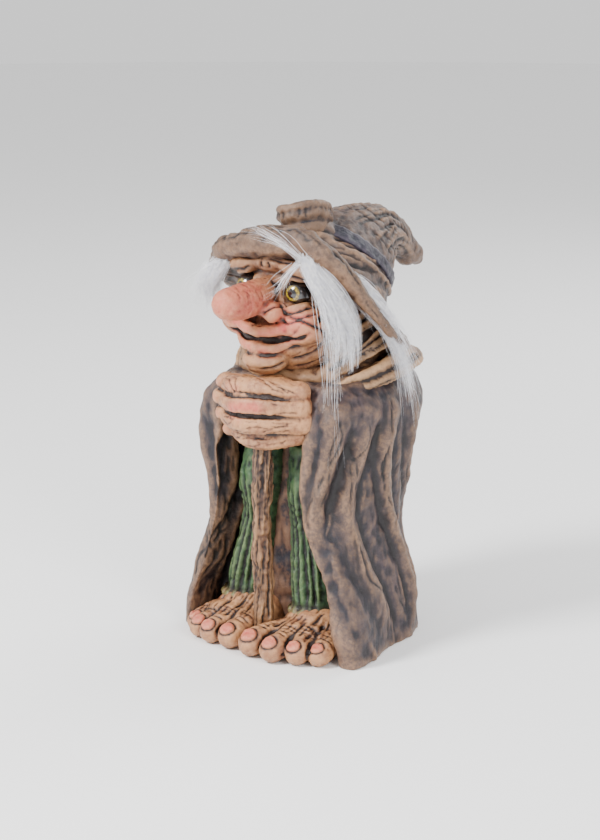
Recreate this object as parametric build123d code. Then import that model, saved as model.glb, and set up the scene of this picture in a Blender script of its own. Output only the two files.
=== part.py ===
from build123d import *
import math
import os

# Folk troll figure, a painted rubber casting with glass eyes and fur hair.
# Millimetres. The figure faces -Y and its left side is +X. The origin is the centre of the base
# plug's underside, on the surface that the figure stands on.

# Shared fits
seat_gap = 0.3
overrun = 2.0

# Cloak, from the hem to the neck plane
cloak_height = 106.0
cloak_width = 42.0
cloak_front = 38.0
cloak_back = 39.0
cloak_fold = 1.5
oval_sides = 10
# Height, left front corner, right front corner, side, front, back, fold depth
cloak_level_shares = (
    (0.00, 1.08, 0.96, 0.97, 1.00, 0.84, 0.60),
    (0.15, 1.06, 0.91, 0.93, 1.00, 0.80, 1.00),
    (0.38, 0.84, 0.69, 0.80, 0.98, 0.65, 1.00),
    (0.56, 0.68, 0.64, 0.79, 0.97, 0.70, 0.90),
    (0.72, 0.64, 0.73, 0.83, 0.97, 0.84, 0.80),
    (0.90, 0.79, 0.72, 0.90, 0.96, 0.98, 0.40),
    (1.00, 0.66, 0.52, 0.74, 0.80, 0.86, 0.10),
)
cloak_side_spots_share = (
    (0.52, -0.98),
    (1.00, -1.00),
    (1.06, -0.62),
    (1.00, -0.20),
)
cloak_back_spots_share = (
    (0.97, 0.25),
    (0.76, 0.70),
    (0.38, 0.95),
)
fold_waves = 8
fold_sweep_share = 0.22
points_between = 3

# Open front of the cloak: right and left edges from the ground up, then the arch
niche_width = 38.0
niche_height = 97.0
niche_depth = 20.0
niche_right_shares = (
    (-1.02, 0.00),
    (-0.94, 0.14),
    (-0.74, 0.32),
    (-0.62, 0.50),
    (-0.58, 0.62),
    (-0.62, 0.78),
    (-0.50, 0.94),
)
niche_left_shares = (
    (0.60, 0.94),
    (0.52, 0.84),
    (0.48, 0.64),
    (0.59, 0.52),
    (0.77, 0.37),
    (0.89, 0.26),
    (1.00, 0.10),
    (1.03, 0.00),
)

# Hollow of the casting, closed by the plug
# Height, half width, front, back, each as a share of the cloak's own
hollow_level_shares = (
    (0.05, 0.76, 0.36, 0.64),
    (0.45, 0.60, 0.36, 0.44),
    (0.80, 0.66, 0.36, 0.66),
    (0.94, 0.40, 0.16, 0.36),
)
plug_radius = 12.0
plug_head_radius = 15.0
plug_head_height = 2.2

# Collar wrapped round the neck
collar_height = 30.0
collar_half_width = 33.0
collar_back = 32.0
collar_front = 27.0
collar_sides = 12
collar_square_share = 0.86
collar_level_shares = (
    (0.00, 0.90, 0.94, 1.00),
    (0.30, 1.00, 1.00, 1.00),
    (0.65, 0.92, 0.86, 0.90),
    (1.00, 0.72, 0.60, 0.60),
)

# Hat: one tilted frame carries brim, crown, band and pleat
hat_forward = 5.0
hat_height = 136.0
hat_tilt = 36.0
hat_roll = 6.0
brim_half_width = 43.0
brim_half_length = 45.0
brim_thickness = 4.0
brim_arch = 7.0
brim_flare = 9.0
sheet_share = 1.1
# Place along the brim, lift of the middle as a share of the flare, arch
brim_level_shares = (
    (-1.10, 1.10, 1.20),
    (-0.75, 0.45, 1.10),
    (-0.30, 0.00, 1.00),
    (0.30, 0.00, 0.80),
    (1.10, 0.25, 0.50),
)
crown_reach = 64.0
crown_rise = 33.0
crown_half_width = 27.0
# Back, up, tilt in right angles, half width, half length
crown_level_shares = (
    (-0.06, -0.17, 0.40, 1.04, 1.04),
    (0.26, 0.40, 0.46, 0.72, 0.84),
    (0.52, 0.60, 0.74, 0.48, 0.45),
    (0.76, 0.50, 1.05, 0.28, 0.25),
    (0.93, 0.20, 1.35, 0.20, 0.19),
    (1.00, -0.04, 1.45, 0.10, 0.10),
)
crown_steps = 3
band_width = 6.0
band_thickness = 1.4
band_lift = 22.5
pleat_half_width = 10.0
pleat_half_length = 12.5
pleat_thickness = 8.0
pleat_bowl_depth = 3.0
pleat_bowl_share = 0.75
pleat_forward = 12.0
pleat_height = 168.0
pleat_tilt = -12.0

# Head, from the neck plane up to the hat
head_height = 58.0
head_half_width = 25.5
head_front = 43.0
head_back = 11.0
# Height, half width, back, then the front at the middle, inner cheek, outer cheek and temple
head_level_shares = (
    (0.00, 0.60, 0.80, 0.70, 0.66, 0.50, 0.20),
    (0.13, 0.72, 0.90, 0.97, 0.86, 0.60, 0.28),
    (0.28, 0.88, 1.00, 0.84, 0.84, 0.74, 0.38),
    (0.42, 1.00, 1.00, 0.86, 0.90, 0.80, 0.44),
    (0.60, 0.96, 0.92, 0.76, 0.72, 0.64, 0.36),
    (0.75, 0.92, 0.80, 0.82, 0.82, 0.66, 0.34),
    (1.00, 0.62, 0.50, 0.74, 0.70, 0.56, 0.30),
)
head_side_spots_share = (0.42, 0.80, 1.00)
head_steps = 2
nose_length = 31.0
nose_radius = 7.0
nose_root_height = 141.0
nose_root_forward = 32.0
nose_droop = 5.0
nose_profile_shares = (
    (0.00, 0.70),
    (0.30, 0.86),
    (0.62, 0.98),
    (0.84, 1.00),
    (0.96, 0.62),
)
nostril_radius = 4.6
nostril_side = 6.2
nostril_forward = 39.0
nostril_height = 134.2
lip_radius = 2.6
lip_reach = 12.0
lip_forward = 36.6
lip_bow = 3.6
lip_smile = 1.6
upper_lip_height = 124.8
lower_lip_height = 118.9

# Eyes: black cup, gold ring and clear dome, stacked along one axis
eye_side = 12.0
eye_forward = 28.8
eye_height = 140.5
eye_yaw = 10.0
eye_cup_radius = 4.7
eye_cup_thickness = 1.8
iris_radius = 3.7
pupil_radius = 1.9
iris_thickness = 0.5
dome_radius = 4.2
dome_height = 2.5
socket_depth = 9.0

# Clasped hands over the stick
stick_radius = 4.0
stick_forward = 36.5
stick_length = 94.0
stick_knot_shares = (1.05, 0.90, 1.02, 0.94)
stick_sides = 8
stick_rib_share = 0.06
palm_radii = (16.0, 11.5, 13.5)
palm_side = 5.0
palm_forward = 36.5
palm_height = 94.5
palm_far_radius = 11.5
palm_far_side = 8.0
finger_forward = 42.0
# Height, radius, bow, as shares of the palm's height, depth and depth
finger_shares = (
    (1.095, 0.40, 0.22),
    (1.030, 0.44, 0.36),
    (0.945, 0.52, 0.30),
)
finger_reach = 13.0
fingertip_share = 1.1
wrist_radius = 7.0
wrist_side = 25.0
wrist_forward = 29.0
wrist_height = 92.0

# Feet: each has an instep and four toes
foot_height = 16.0
foot_half_width = 18.0
foot_length = 25.0
# Place along the foot, half width and height of the instep
foot_place_shares = (
    (0.00, 0.66, 1.00),
    (0.55, 1.00, 0.92),
    (1.00, 0.98, 0.62),
)
left_foot_side = 17.5
right_foot_side = -17.5
toe_height = 5.2
toe_length = 9.0
left_toe_places = (
    (5.6, 47.0, 5.9),
    (16.2, 47.5, 5.5),
    (25.2, 44.0, 5.2),
    (32.6, 39.0, 4.9),
)
right_toe_places = (
    (-6.6, 46.0, 5.5),
    (-16.4, 46.5, 5.2),
    (-24.2, 43.5, 4.8),
    (-30.4, 39.0, 4.4),
)

# Trousers
leg_height = 68.0
leg_bottom = 12.0
leg_half_width = 10.0
leg_depth = 10.0
# Height, middle, half width, depth
left_leg_shares = (
    (0.00, 1.45, 1.05, 1.05),
    (0.25, 1.30, 0.86, 0.90),
    (0.52, 1.05, 0.70, 0.72),
    (0.75, 1.10, 0.86, 0.96),
    (1.00, 1.05, 0.80, 0.80),
)
right_leg_shares = (
    (0.00, -2.05, 1.05, 1.05),
    (0.25, -1.80, 0.86, 0.90),
    (0.52, -1.45, 0.70, 0.70),
    (0.75, -1.35, 0.88, 0.96),
    (1.00, -1.15, 0.80, 0.80),
)

# Fur hair at both temples: side, forward, height, radius of each place along a lock
lock_sides = 6
left_hair_places = (
    (25.0, 31.0, 151.0, 3.2),
    (29.5, 28.0, 134.0, 6.2),
    (31.0, 24.0, 113.0, 2.2),
)
left_lock_places = (
    (34.0, 14.0, 137.0, 3.2),
    (37.0, 7.0, 123.0, 4.4),
    (38.0, -3.0, 106.5, 1.8),
)
right_hair_places = (
    (-25.0, 31.0, 150.0, 3.2),
    (-30.0, 27.0, 139.0, 6.2),
    (-32.0, 20.0, 122.0, 2.4),
)


def between(before, start, end, after, t):
    """Catmull-Rom point a share t of the way from start to end."""
    return tuple(
        (2 * b + (c - a) * t + (2 * a - 5 * b + 4 * c - d) * t**2 + (3 * b - a - 3 * c + d) * t**3) / 2
        for a, b, c, d in zip(before, start, end, after)
    )


def smooth_loop(corners, steps):
    """Points of a closed smooth curve through the corners."""
    found = []
    count = len(corners)
    for i in range(count):
        near = [corners[(i + k) % count] for k in (-1, 0, 1, 2)]
        found += [between(*near, step / steps) for step in range(steps)]
    return found


def closed_face(points, height):
    """Flat face inside a smooth closed curve at one height."""
    curve = Spline(*[(x, y, height) for x, y in points], periodic=True)
    return Face(Wire([curve]))


def main_piece(shape):
    """The largest solid of a cut."""
    return max(shape.solids(), key=lambda solid: solid.volume)


def egg(centre, radii):
    """Stretched ball whose seam is at the back."""
    return Pos(*centre) * scale(Rot(0, 0, 90) * Sphere(1), by=radii)


def oval_at(frame, half_width, half_length, count):
    """Smooth closed oval on a plane."""
    turns = [2 * math.pi * i / count for i in range(count)]
    curve = Spline(*[(half_width * math.cos(a), half_length * math.sin(a)) for a in turns], periodic=True)
    return frame * Face(Wire([curve]))


def lock(places):
    """Tapered tuft through round sections."""
    rounds = [oval_at(Plane(origin=(side, -forward, height)), radius, radius, lock_sides)
              for side, forward, height, radius in reversed(places)]
    return loft(rounds)


def cloak_section(row):
    level, left, right, side, front, back, fold = row
    half = cloak_width * side
    left_corner = cloak_width * left
    right_corner = cloak_width * right
    ahead = cloak_front * front
    behind = cloak_back * back
    flank = [(left_corner * cloak_side_spots_share[0][0], ahead * cloak_side_spots_share[0][1]),
             (left_corner, ahead * cloak_side_spots_share[1][1]),
             ((left_corner + half) / 2 * cloak_side_spots_share[2][0], ahead * cloak_side_spots_share[2][1]),
             (half, ahead * cloak_side_spots_share[3][1])]
    far_flank = [(-right_corner * cloak_side_spots_share[0][0], ahead * cloak_side_spots_share[0][1]),
                 (-right_corner, ahead * cloak_side_spots_share[1][1]),
                 (-(right_corner + half) / 2 * cloak_side_spots_share[2][0],
                  ahead * cloak_side_spots_share[2][1]),
                 (-half, ahead * cloak_side_spots_share[3][1])]
    rear = [(half * x, behind * y) for x, y in cloak_back_spots_share]
    far_rear = [(-half * x, behind * y) for x, y in cloak_back_spots_share]
    corners = flank + rear + [(0, behind)] + far_rear[::-1] + far_flank[::-1]
    points = smooth_loop(corners, points_between)
    folded = []
    for x, y in points:
        turn = math.atan2(x, y + cloak_front)
        depth = cloak_fold * fold * math.cos(turn * fold_waves * 2 + level * fold_sweep_share * 2 * math.pi
                                             * fold_waves / 2)
        reach = math.hypot(x, y)
        grow = 1 + depth * max(0, y + cloak_front) / (cloak_front + cloak_back) / reach
        folded.append((x * grow, y * grow))
    return closed_face(folded, cloak_height * level)


def half_ellipse_points(half_width, ahead, behind):
    """Closed oval whose front and back have their own reach."""
    points = []
    for i in range(collar_sides):
        turn = 2 * math.pi * i / collar_sides
        c = math.cos(turn)
        s = math.sin(turn)
        x = half_width * math.copysign(abs(c) ** collar_square_share, c)
        y = (behind if s > 0 else ahead) * math.copysign(abs(s) ** collar_square_share, s)
        points.append((x, y))
    return points


def make_niche():
    right = [(x * niche_width, z * niche_height) for x, z in niche_right_shares]
    left = [(x * niche_width, z * niche_height) for x, z in niche_left_shares]
    frame = Plane(origin=(0, -niche_depth, 0), x_dir=(1, 0, 0), z_dir=(0, -1, 0))
    edge = Spline(*right, (0, niche_height), *left)
    base = Polyline(left[-1], (left[-1][0], -overrun), (right[0][0], -overrun), right[0])
    outline = make_face(edge + base)
    return extrude(frame * outline, amount=cloak_front * 2)


def make_hollow():
    rounds = []
    for level, side, front, back in hollow_level_shares:
        half = cloak_width * side
        ahead = cloak_front * front
        behind = cloak_back * back
        rounds.append(Plane(origin=(0, (behind - ahead) / 2, cloak_height * level))
                      * Ellipse(half, (behind + ahead) / 2))
    return loft(rounds)


def make_plug():
    head = extrude(Circle(plug_head_radius), plug_head_height)
    stem = extrude(Circle(plug_radius), cloak_height * hollow_level_shares[0][0])
    return head + stem


def make_plug_hole():
    head = extrude(Circle(plug_head_radius + seat_gap), plug_head_height)
    stem = extrude(Circle(plug_radius + seat_gap), cloak_height * hollow_level_shares[1][0])
    return head + stem


def make_cloak():
    body = loft([cloak_section(row) for row in cloak_level_shares])
    body = body - make_niche()
    body = body - make_hollow()
    body = body - make_plug_hole()
    return main_piece(body)


hat_frame = (Plane(origin=(0, -hat_forward, hat_height), x_dir=(1, 0, 0),
                   z_dir=(0, math.sin(math.radians(hat_tilt)), math.cos(math.radians(hat_tilt)))))


def brim_sheet(thickness):
    """Arched and flared sheet, as thick as asked above the brim's underside."""
    half = brim_half_width * sheet_share
    sections = []
    for place, lift, arch in brim_level_shares:
        under = brim_flare * lift - brim_thickness
        sag = brim_arch * arch
        over = under + thickness
        frame = Plane(origin=(0, brim_half_length * place, 0), x_dir=(1, 0, 0), z_dir=(0, -1, 0))
        edges = (Spline((-half, over - sag), (0, over), (half, over - sag))
                 + Line((half, over - sag), (half, under - sag))
                 + Spline((half, under - sag), (0, under), (-half, under - sag))
                 + Line((-half, under - sag), (-half, over - sag)))
        sections.append(frame * make_face(edges))
    return loft(sections)


def make_brim():
    outline = Pos(0, 0, -brim_half_width) * extrude(Ellipse(brim_half_width, brim_half_length),
                                                     2 * brim_half_width)
    return hat_frame * (Rot(0, hat_roll, 0) * (brim_sheet(brim_thickness) & outline))


def hat_cut():
    """Everything above the brim's underside."""
    return hat_frame * (Rot(0, hat_roll, 0) * brim_sheet(2 * brim_half_width))


def crown_section(row, extra=0.0):
    back, up, tilt, half_width, half_length = row
    turn = tilt * math.pi / 2
    centre = (0, -hat_forward + crown_reach * back, hat_height + crown_rise * up)
    normal = (0, math.sin(turn), math.cos(turn))
    frame = Plane(origin=centre, x_dir=(1, 0, 0), z_dir=normal)
    return oval_at(frame, crown_half_width * half_width + extra, crown_half_width * half_length + extra,
                   oval_sides)


def smooth_rows(rows, steps):
    """The rows of a table with smooth steps between them."""
    ends = [rows[0], *rows, rows[-1]]
    found = []
    for near in zip(ends, ends[1:], ends[2:], ends[3:]):
        found += [between(*near, step / steps) for step in range(steps)]
    return found + [rows[-1]]


def make_crown():
    return loft([crown_section(row) for row in smooth_rows(crown_level_shares, crown_steps)])


def make_band():
    rows = smooth_rows(crown_level_shares, crown_steps)[1:2 * crown_steps + 1]
    body = loft([crown_section(row, band_thickness) for row in rows], ruled=True)
    slab = hat_frame * (Pos(0, 0, band_lift) * Box(4 * crown_half_width, 4 * crown_half_width, band_width))
    return body & slab


def make_pleat():
    frame = Pos(0, -pleat_forward, pleat_height) * Rot(pleat_tilt, 0, 0)
    puck = extrude(Ellipse(pleat_half_width, pleat_half_length), -pleat_thickness)
    bowl = egg((0, 0, 0), (pleat_half_width * pleat_bowl_share, pleat_half_length * pleat_bowl_share,
                           pleat_bowl_depth))
    return frame * (puck - bowl)


def make_collar():
    rounds = []
    for level, side, front, back in collar_level_shares:
        points = half_ellipse_points(collar_half_width * side, collar_front * front, collar_back * back)
        rounds.append(closed_face(points, cloak_height + collar_height * level))
    return loft(rounds)


def make_nose():
    places = [(nose_radius * radius, nose_length * along) for along, radius in nose_profile_shares]
    top = Spline(*places, (0, nose_length), tangents=((0, 1), (-1, 0)))
    side = Polyline((0, nose_length), (0, 0), places[0])
    profile = make_face(Plane.XZ * (top + side))
    shape = revolve(profile, axis=Axis.Z)
    return Pos(0, -nose_root_forward, nose_root_height) * (Rot(90 + nose_droop, 0, 0) * shape)


def eye_frame(side):
    turn = math.radians(eye_yaw) * side
    return Plane(origin=(eye_side * side, -eye_forward, eye_height), x_dir=(math.cos(turn), math.sin(turn), 0),
                 z_dir=(math.sin(turn), -math.cos(turn), 0))


def head_section(row):
    level, side, behind, *ahead = row
    half = head_half_width * side
    rear = head_back * behind
    right = [(half * spot, -head_front * reach) for spot, reach in zip(head_side_spots_share, ahead[1:])]
    left = [(-x, y) for x, y in right]
    flank = half * head_side_spots_share[1]
    back = [(flank, rear / 2), (0, rear), (-flank, rear / 2)]
    corners = [(0, -head_front * ahead[0])] + right + back + left[::-1]
    return closed_face(corners, cloak_height + head_height * level)


def make_lip(height):
    corner = lip_bow - lip_forward
    path = ThreePointArc((-lip_reach, corner, height + lip_smile), (0, -lip_forward, height),
                         (lip_reach, corner, height + lip_smile))
    return sweep(Plane(origin=path @ 0, z_dir=path % 0) * Circle(lip_radius), path=path)


def make_head():
    head = loft([head_section(row) for row in smooth_rows(head_level_shares, head_steps)])
    features = [make_nose(), make_lip(upper_lip_height), make_lip(lower_lip_height)]
    for side in (-1, 1):
        ball = Rot(0, 90, 0) * Sphere(nostril_radius)
        features.append(Pos(side * nostril_side, -nostril_forward, nostril_height) * ball)
    for feature in features:
        head = head + feature
    for side in (-1, 1):
        head = head - eye_frame(side) * extrude(Circle(eye_cup_radius + seat_gap), socket_depth)
    return main_piece(head - hat_cut())


def make_eye(side):
    """Cup with its pupil boss, ring round the boss, and dome."""
    frame = eye_frame(side)
    cup = extrude(Circle(eye_cup_radius), eye_cup_thickness)
    cup = cup + Pos(0, 0, eye_cup_thickness) * extrude(Circle(pupil_radius), iris_thickness)
    ring = Pos(0, 0, eye_cup_thickness) * extrude(Circle(iris_radius) - Circle(pupil_radius), iris_thickness)
    ball = (dome_radius**2 + dome_height**2) / (2 * dome_height)
    front = eye_cup_thickness + iris_thickness
    dome = Pos(0, 0, front + dome_height - ball) * Sphere(ball)
    dome = dome & (Pos(0, 0, front + ball) * Box(4 * ball, 4 * ball, 2 * ball))
    return frame * cup, frame * ring, frame * dome


def make_stick(extra=0.0):
    rounds = []
    count = len(stick_knot_shares)
    for i, knot in enumerate(stick_knot_shares):
        points = []
        for k in range(stick_sides):
            turn = 2 * math.pi * k / stick_sides
            reach = stick_radius * knot * (1 + stick_rib_share * (-1) ** k) + extra
            points.append((reach * math.cos(turn), reach * math.sin(turn) - stick_forward))
        rounds.append(closed_face(points, stick_length * i / (count - 1)))
    return loft(rounds)


def finger(height, radius, bow):
    level = palm_height * height
    thick = palm_radii[1] * radius
    ahead = finger_forward + palm_radii[1] * bow
    path = ThreePointArc((-finger_reach, -finger_forward, level), (0, -ahead, level),
                         (finger_reach, -finger_forward, level))
    profile = Plane(origin=path @ 0, z_dir=path % 0) * Circle(thick)
    body = sweep(profile, path=path)
    return body + Pos(*(path @ 0)) * (Rot(0, 90, 0) * Sphere(thick * fingertip_share))


def make_hands():
    left = egg((palm_side, -palm_forward, palm_height), palm_radii)
    right = Pos(-palm_far_side, -palm_forward, palm_height) * (Rot(0, 90, 0) * Sphere(palm_far_radius))
    for row in finger_shares:
        left = left + finger(*row)
    wrist = extrude(Circle(wrist_radius), wrist_side)
    left = left + Pos(0, -wrist_forward, wrist_height) * (Rot(0, 90, 0) * wrist)
    return left, right


def make_foot(middle, toes):
    sections = []
    for along, width, height in foot_place_shares:
        frame = Plane(origin=(middle, -niche_depth - foot_length * along, 0), x_dir=(1, 0, 0),
                      z_dir=(0, -1, 0))
        sections.append(frame * Ellipse(foot_half_width * width, foot_height * height))
    body = loft(sections)
    for side, forward, radius in toes:
        body = body + egg((side, -forward, toe_height), (radius, toe_length, toe_height))
    ground = Pos(0, 0, -foot_height) * Box(8 * foot_half_width, 8 * foot_half_width, 2 * foot_height)
    return body - ground


def make_leg(rows):
    rounds = []
    for level, middle, side, depth in rows:
        frame = Plane(origin=(leg_half_width * middle, -niche_depth, leg_bottom + leg_height * level))
        rounds.append(frame * Ellipse(leg_half_width * side, leg_depth * depth))
    back = Pos(0, cloak_front - niche_depth, cloak_height / 2) * Box(4 * cloak_width, 2 * cloak_front,
                                                                     2 * cloak_height)
    return loft(rounds) - back


def stick_bore():
    widest = stick_radius * max(stick_knot_shares) * (1 + stick_rib_share)
    return Pos(0, -stick_forward, 0) * extrude(Circle(widest + seat_gap), stick_length + seat_gap)


def make_pieces():
    """Every node, each cut to its seats on the ones before it."""
    made = {}
    made["cloak"] = make_cloak()
    made["base_plug"] = make_plug()
    made["walking_stick"] = make_stick()
    made["head"] = make_head()
    cloak = made["cloak"]
    head = made["head"]
    made["hat_brim"] = make_brim()
    brim = made["hat_brim"]
    under_hat = hat_cut()
    bore = stick_bore()

    made["collar"] = main_piece(make_collar() - under_hat - head)
    crown = main_piece(make_crown() - brim)
    band = main_piece(make_band() - crown)
    made["hat_crown"] = crown
    made["hat_band"] = band
    made["hat_pleat"] = main_piece(make_pleat() - crown - band - brim)

    for name, side in (("left", 1), ("right", -1)):
        cup, ring, dome = make_eye(side)
        made[name + "_eye_cup"] = cup
        made[name + "_eye_ring"] = ring
        made[name + "_eye_dome"] = dome

    left_hand, right_hand = make_hands()
    left_hand = main_piece(left_hand - cloak - head - bore)
    made["left_hand"] = left_hand
    made["right_hand"] = main_piece(right_hand - left_hand - bore - cloak - head)

    left_foot = main_piece(make_foot(left_foot_side, left_toe_places) - cloak - bore)
    right_foot = main_piece(make_foot(right_foot_side, right_toe_places) - cloak - bore - left_foot)
    made["left_foot"] = left_foot
    made["right_foot"] = right_foot
    made["left_trouser_leg"] = main_piece(make_leg(left_leg_shares) - cloak - bore - left_foot)
    made["right_trouser_leg"] = main_piece(make_leg(right_leg_shares) - cloak - bore - right_foot)

    for name, places in (("left_hair", left_hair_places), ("left_hair_lock", left_lock_places),
                         ("right_hair", right_hair_places)):
        tuft = lock(places) - under_hat - head - made["collar"] - cloak
        made[name] = main_piece(tuft)
    return made


os.makedirs("parts", exist_ok=True)
for node, shape in make_pieces().items():
    shape.label = node
    export_step(shape, "parts/" + node + ".step")
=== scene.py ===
"""Sculpted and painted looks of a cast folk troll figure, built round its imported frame."""

import math
import random

import bmesh
import bpy
import numpy as np
from mathutils import Euler, Matrix, Vector, kdtree, noise


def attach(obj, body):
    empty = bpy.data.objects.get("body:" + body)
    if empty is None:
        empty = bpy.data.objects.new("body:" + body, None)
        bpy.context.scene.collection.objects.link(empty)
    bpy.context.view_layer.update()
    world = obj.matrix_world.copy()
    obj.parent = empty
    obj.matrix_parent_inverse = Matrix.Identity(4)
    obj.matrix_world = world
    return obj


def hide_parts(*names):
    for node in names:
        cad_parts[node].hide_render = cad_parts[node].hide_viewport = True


bl_info = {
    "name": "Cast Troll Figure",
    "version": (1, 0, 0),
    "blender": (4, 5, 0),
    "location": "View3D > Sidebar > Troll",
    "description": "Sculpts and paints a cast folk troll figure round its frame",
    "category": "Object",
}

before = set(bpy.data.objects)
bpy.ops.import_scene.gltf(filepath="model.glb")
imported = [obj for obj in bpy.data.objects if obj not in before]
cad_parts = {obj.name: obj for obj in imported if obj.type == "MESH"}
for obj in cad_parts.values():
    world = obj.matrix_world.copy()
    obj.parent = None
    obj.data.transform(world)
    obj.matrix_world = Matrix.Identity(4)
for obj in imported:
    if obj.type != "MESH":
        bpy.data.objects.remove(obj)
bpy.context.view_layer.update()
MM = 0.001


# Curves and tables, in millimetres


def curve_between(rows, steps):
    """Catmull-Rom points from each inner row to the next."""
    t = np.linspace(0, 1, steps, endpoint=False)[:, None]
    return [(2 * b + (c - a) * t + (2 * a - 5 * b + 4 * c - d) * t**2
             + (3 * b - a - 3 * c + d) * t**3) / 2
            for a, b, c, d in zip(rows, rows[1:], rows[2:], rows[3:])]


def smooth_path(places, steps=8):
    """A smooth open curve through the places."""
    places = np.asarray(places, float)
    before = 2 * places[:1] - places[1:2]
    beyond = 2 * places[-1:] - places[-2:-1]
    found = curve_between(np.vstack([before, places, beyond]), steps)
    return np.vstack(found + [places[-1:]])


def closed_curve(corners, count):
    """Points of a smooth closed curve, evenly spaced along it."""
    corners = np.asarray(corners, float)
    found = curve_between(np.vstack([corners[-1:], corners, corners[:2]]), 12)
    loop = np.vstack(found + [found[0][:1]])
    run = np.concatenate([[0], np.cumsum(np.linalg.norm(np.diff(loop, axis=0), axis=1))])
    at = np.linspace(0, run[-1], count, endpoint=False)
    return np.stack([np.interp(at, run, loop[:, k]) for k in range(loop.shape[1])], axis=1)


def round_turns(count):
    """Angles evenly round a circle, in radians."""
    return np.linspace(0, 2 * math.pi, count, endpoint=False)


def oval(turns, half_width, half_depth, centre=(0, 0), height=0.0):
    """A level ring of points round a centre."""
    x, y = centre
    return np.column_stack([half_width * np.cos(turns) + x, half_depth * np.sin(turns) + y,
                            np.full(len(turns), height)])


def at_angle(table, degrees):
    """A closed table of (degrees, value) read at any angle."""
    spots = np.array([row[0] for row in table], float)
    values = np.array([row[1] for row in table], float)
    spots = np.concatenate([spots - 360, spots, spots + 360])
    values = np.tile(values, 3)
    return np.interp(np.asarray(degrees) % 360, spots, values)


def in_scene(name, data):
    """A new object of the scene, at the origin."""
    made = bpy.data.objects.new(name, data)
    bpy.context.scene.collection.objects.link(made)
    return made


# Clay: lumps, ropes and lofts that are pressed into one skin


class Clay:
    """Lumps of clay in millimetres."""

    def __init__(self):
        self.bm = bmesh.new()

    def ball(self, centre, radii, turn=(0, 0, 0), fine=3):
        """A ball, or an egg where three radii are given, turned by degrees."""
        if not hasattr(radii, "__len__"):
            radii = (radii, radii, radii)
        pose = Euler([math.radians(a) for a in turn]).to_matrix().to_4x4()
        matrix = Matrix.Translation(centre) @ pose @ Matrix.Diagonal((*radii, 1))
        bmesh.ops.create_icosphere(self.bm, subdivisions=fine, radius=1, matrix=matrix)

    def pair(self, centre, radii, turn=(0, 0, 0)):
        """The same ball on both sides."""
        x, y, z = centre
        self.ball((x, y, z), radii, turn)
        self.ball((-x, y, z), radii, (turn[0], -turn[1], -turn[2]))

    def rope(self, places, both=False):
        """A tapered rope through rows of (x, y, z, radius)."""
        path = smooth_path(places, 10)
        last = None
        for x, y, z, r in path:
            if last is not None and np.linalg.norm(last - (x, y, z)) < 0.3 * r:
                continue
            last = np.array((x, y, z))
            self.ball((x, y, z), r, fine=2)
            if both:
                self.ball((-x, y, z), r, fine=2)

    def loft(self, rings):
        """A closed body through rings that have as many points each."""
        made = bmesh.ops.create_circle(self.bm, cap_ends=True, segments=len(rings[0]), radius=1)
        verts = made["verts"]
        for vert, place in zip(verts, rings[0]):
            vert.co = place
        rim = [e for v in verts for e in v.link_edges if len(e.link_faces) == 1]
        edges = list(dict.fromkeys(rim))
        for ring in rings[1:]:
            made = bmesh.ops.extrude_edge_only(self.bm, edges=edges)
            new = [g for g in made["geom"] if isinstance(g, bmesh.types.BMVert)]
            follow = {}
            for v in new:
                for e in v.link_edges:
                    other = e.other_vert(v)
                    if other in verts:
                        follow[other] = v
            verts = [follow[v] for v in verts]
            for vert, place in zip(verts, ring):
                vert.co = place
            edges = [g for g in made["geom"] if isinstance(g, bmesh.types.BMEdge)]
        bmesh.ops.contextual_create(self.bm, geom=edges)

    def to_object(self):
        """The clay as an object, with its faces turned outwards."""
        bmesh.ops.recalc_face_normals(self.bm, faces=self.bm.faces[:])
        mesh = bpy.data.meshes.new("clay")
        self.bm.to_mesh(mesh)
        self.bm.free()
        return in_scene("clay", mesh)

    def skin(self, voxel, cutters=()):
        """One even skin over all the clay, with the cutters taken out."""
        obj = self.to_object()
        spare = [obj]

        def press():
            remesh = obj.modifiers.new("press", "REMESH")
            remesh.mode = "VOXEL"
            remesh.voxel_size = voxel

        if cutters:
            press()
        for cutter in cutters:
            tool = cutter.to_object()
            spare.append(tool)
            cut = obj.modifiers.new("cut", "BOOLEAN")
            cut.operation = "DIFFERENCE"
            cut.solver = "EXACT"
            cut.object = tool
        press()
        depsgraph = bpy.context.evaluated_depsgraph_get()
        depsgraph.update()
        mesh = bpy.data.meshes.new_from_object(obj.evaluated_get(depsgraph))
        for each in spare:
            data = each.data
            bpy.data.objects.remove(each)
            bpy.data.meshes.remove(data)
        return mesh


def worn(ridge, rise, cut, glow, wash, **also):
    """Settings of a stroke: a rubbed ridge, or else a groove that holds the dark wash, which is
    also painted shade in the groove.
    """
    if ridge:
        return {"depth": rise, "glow": glow}
    return {"depth": -cut, "wash": wash, **also}


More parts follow.
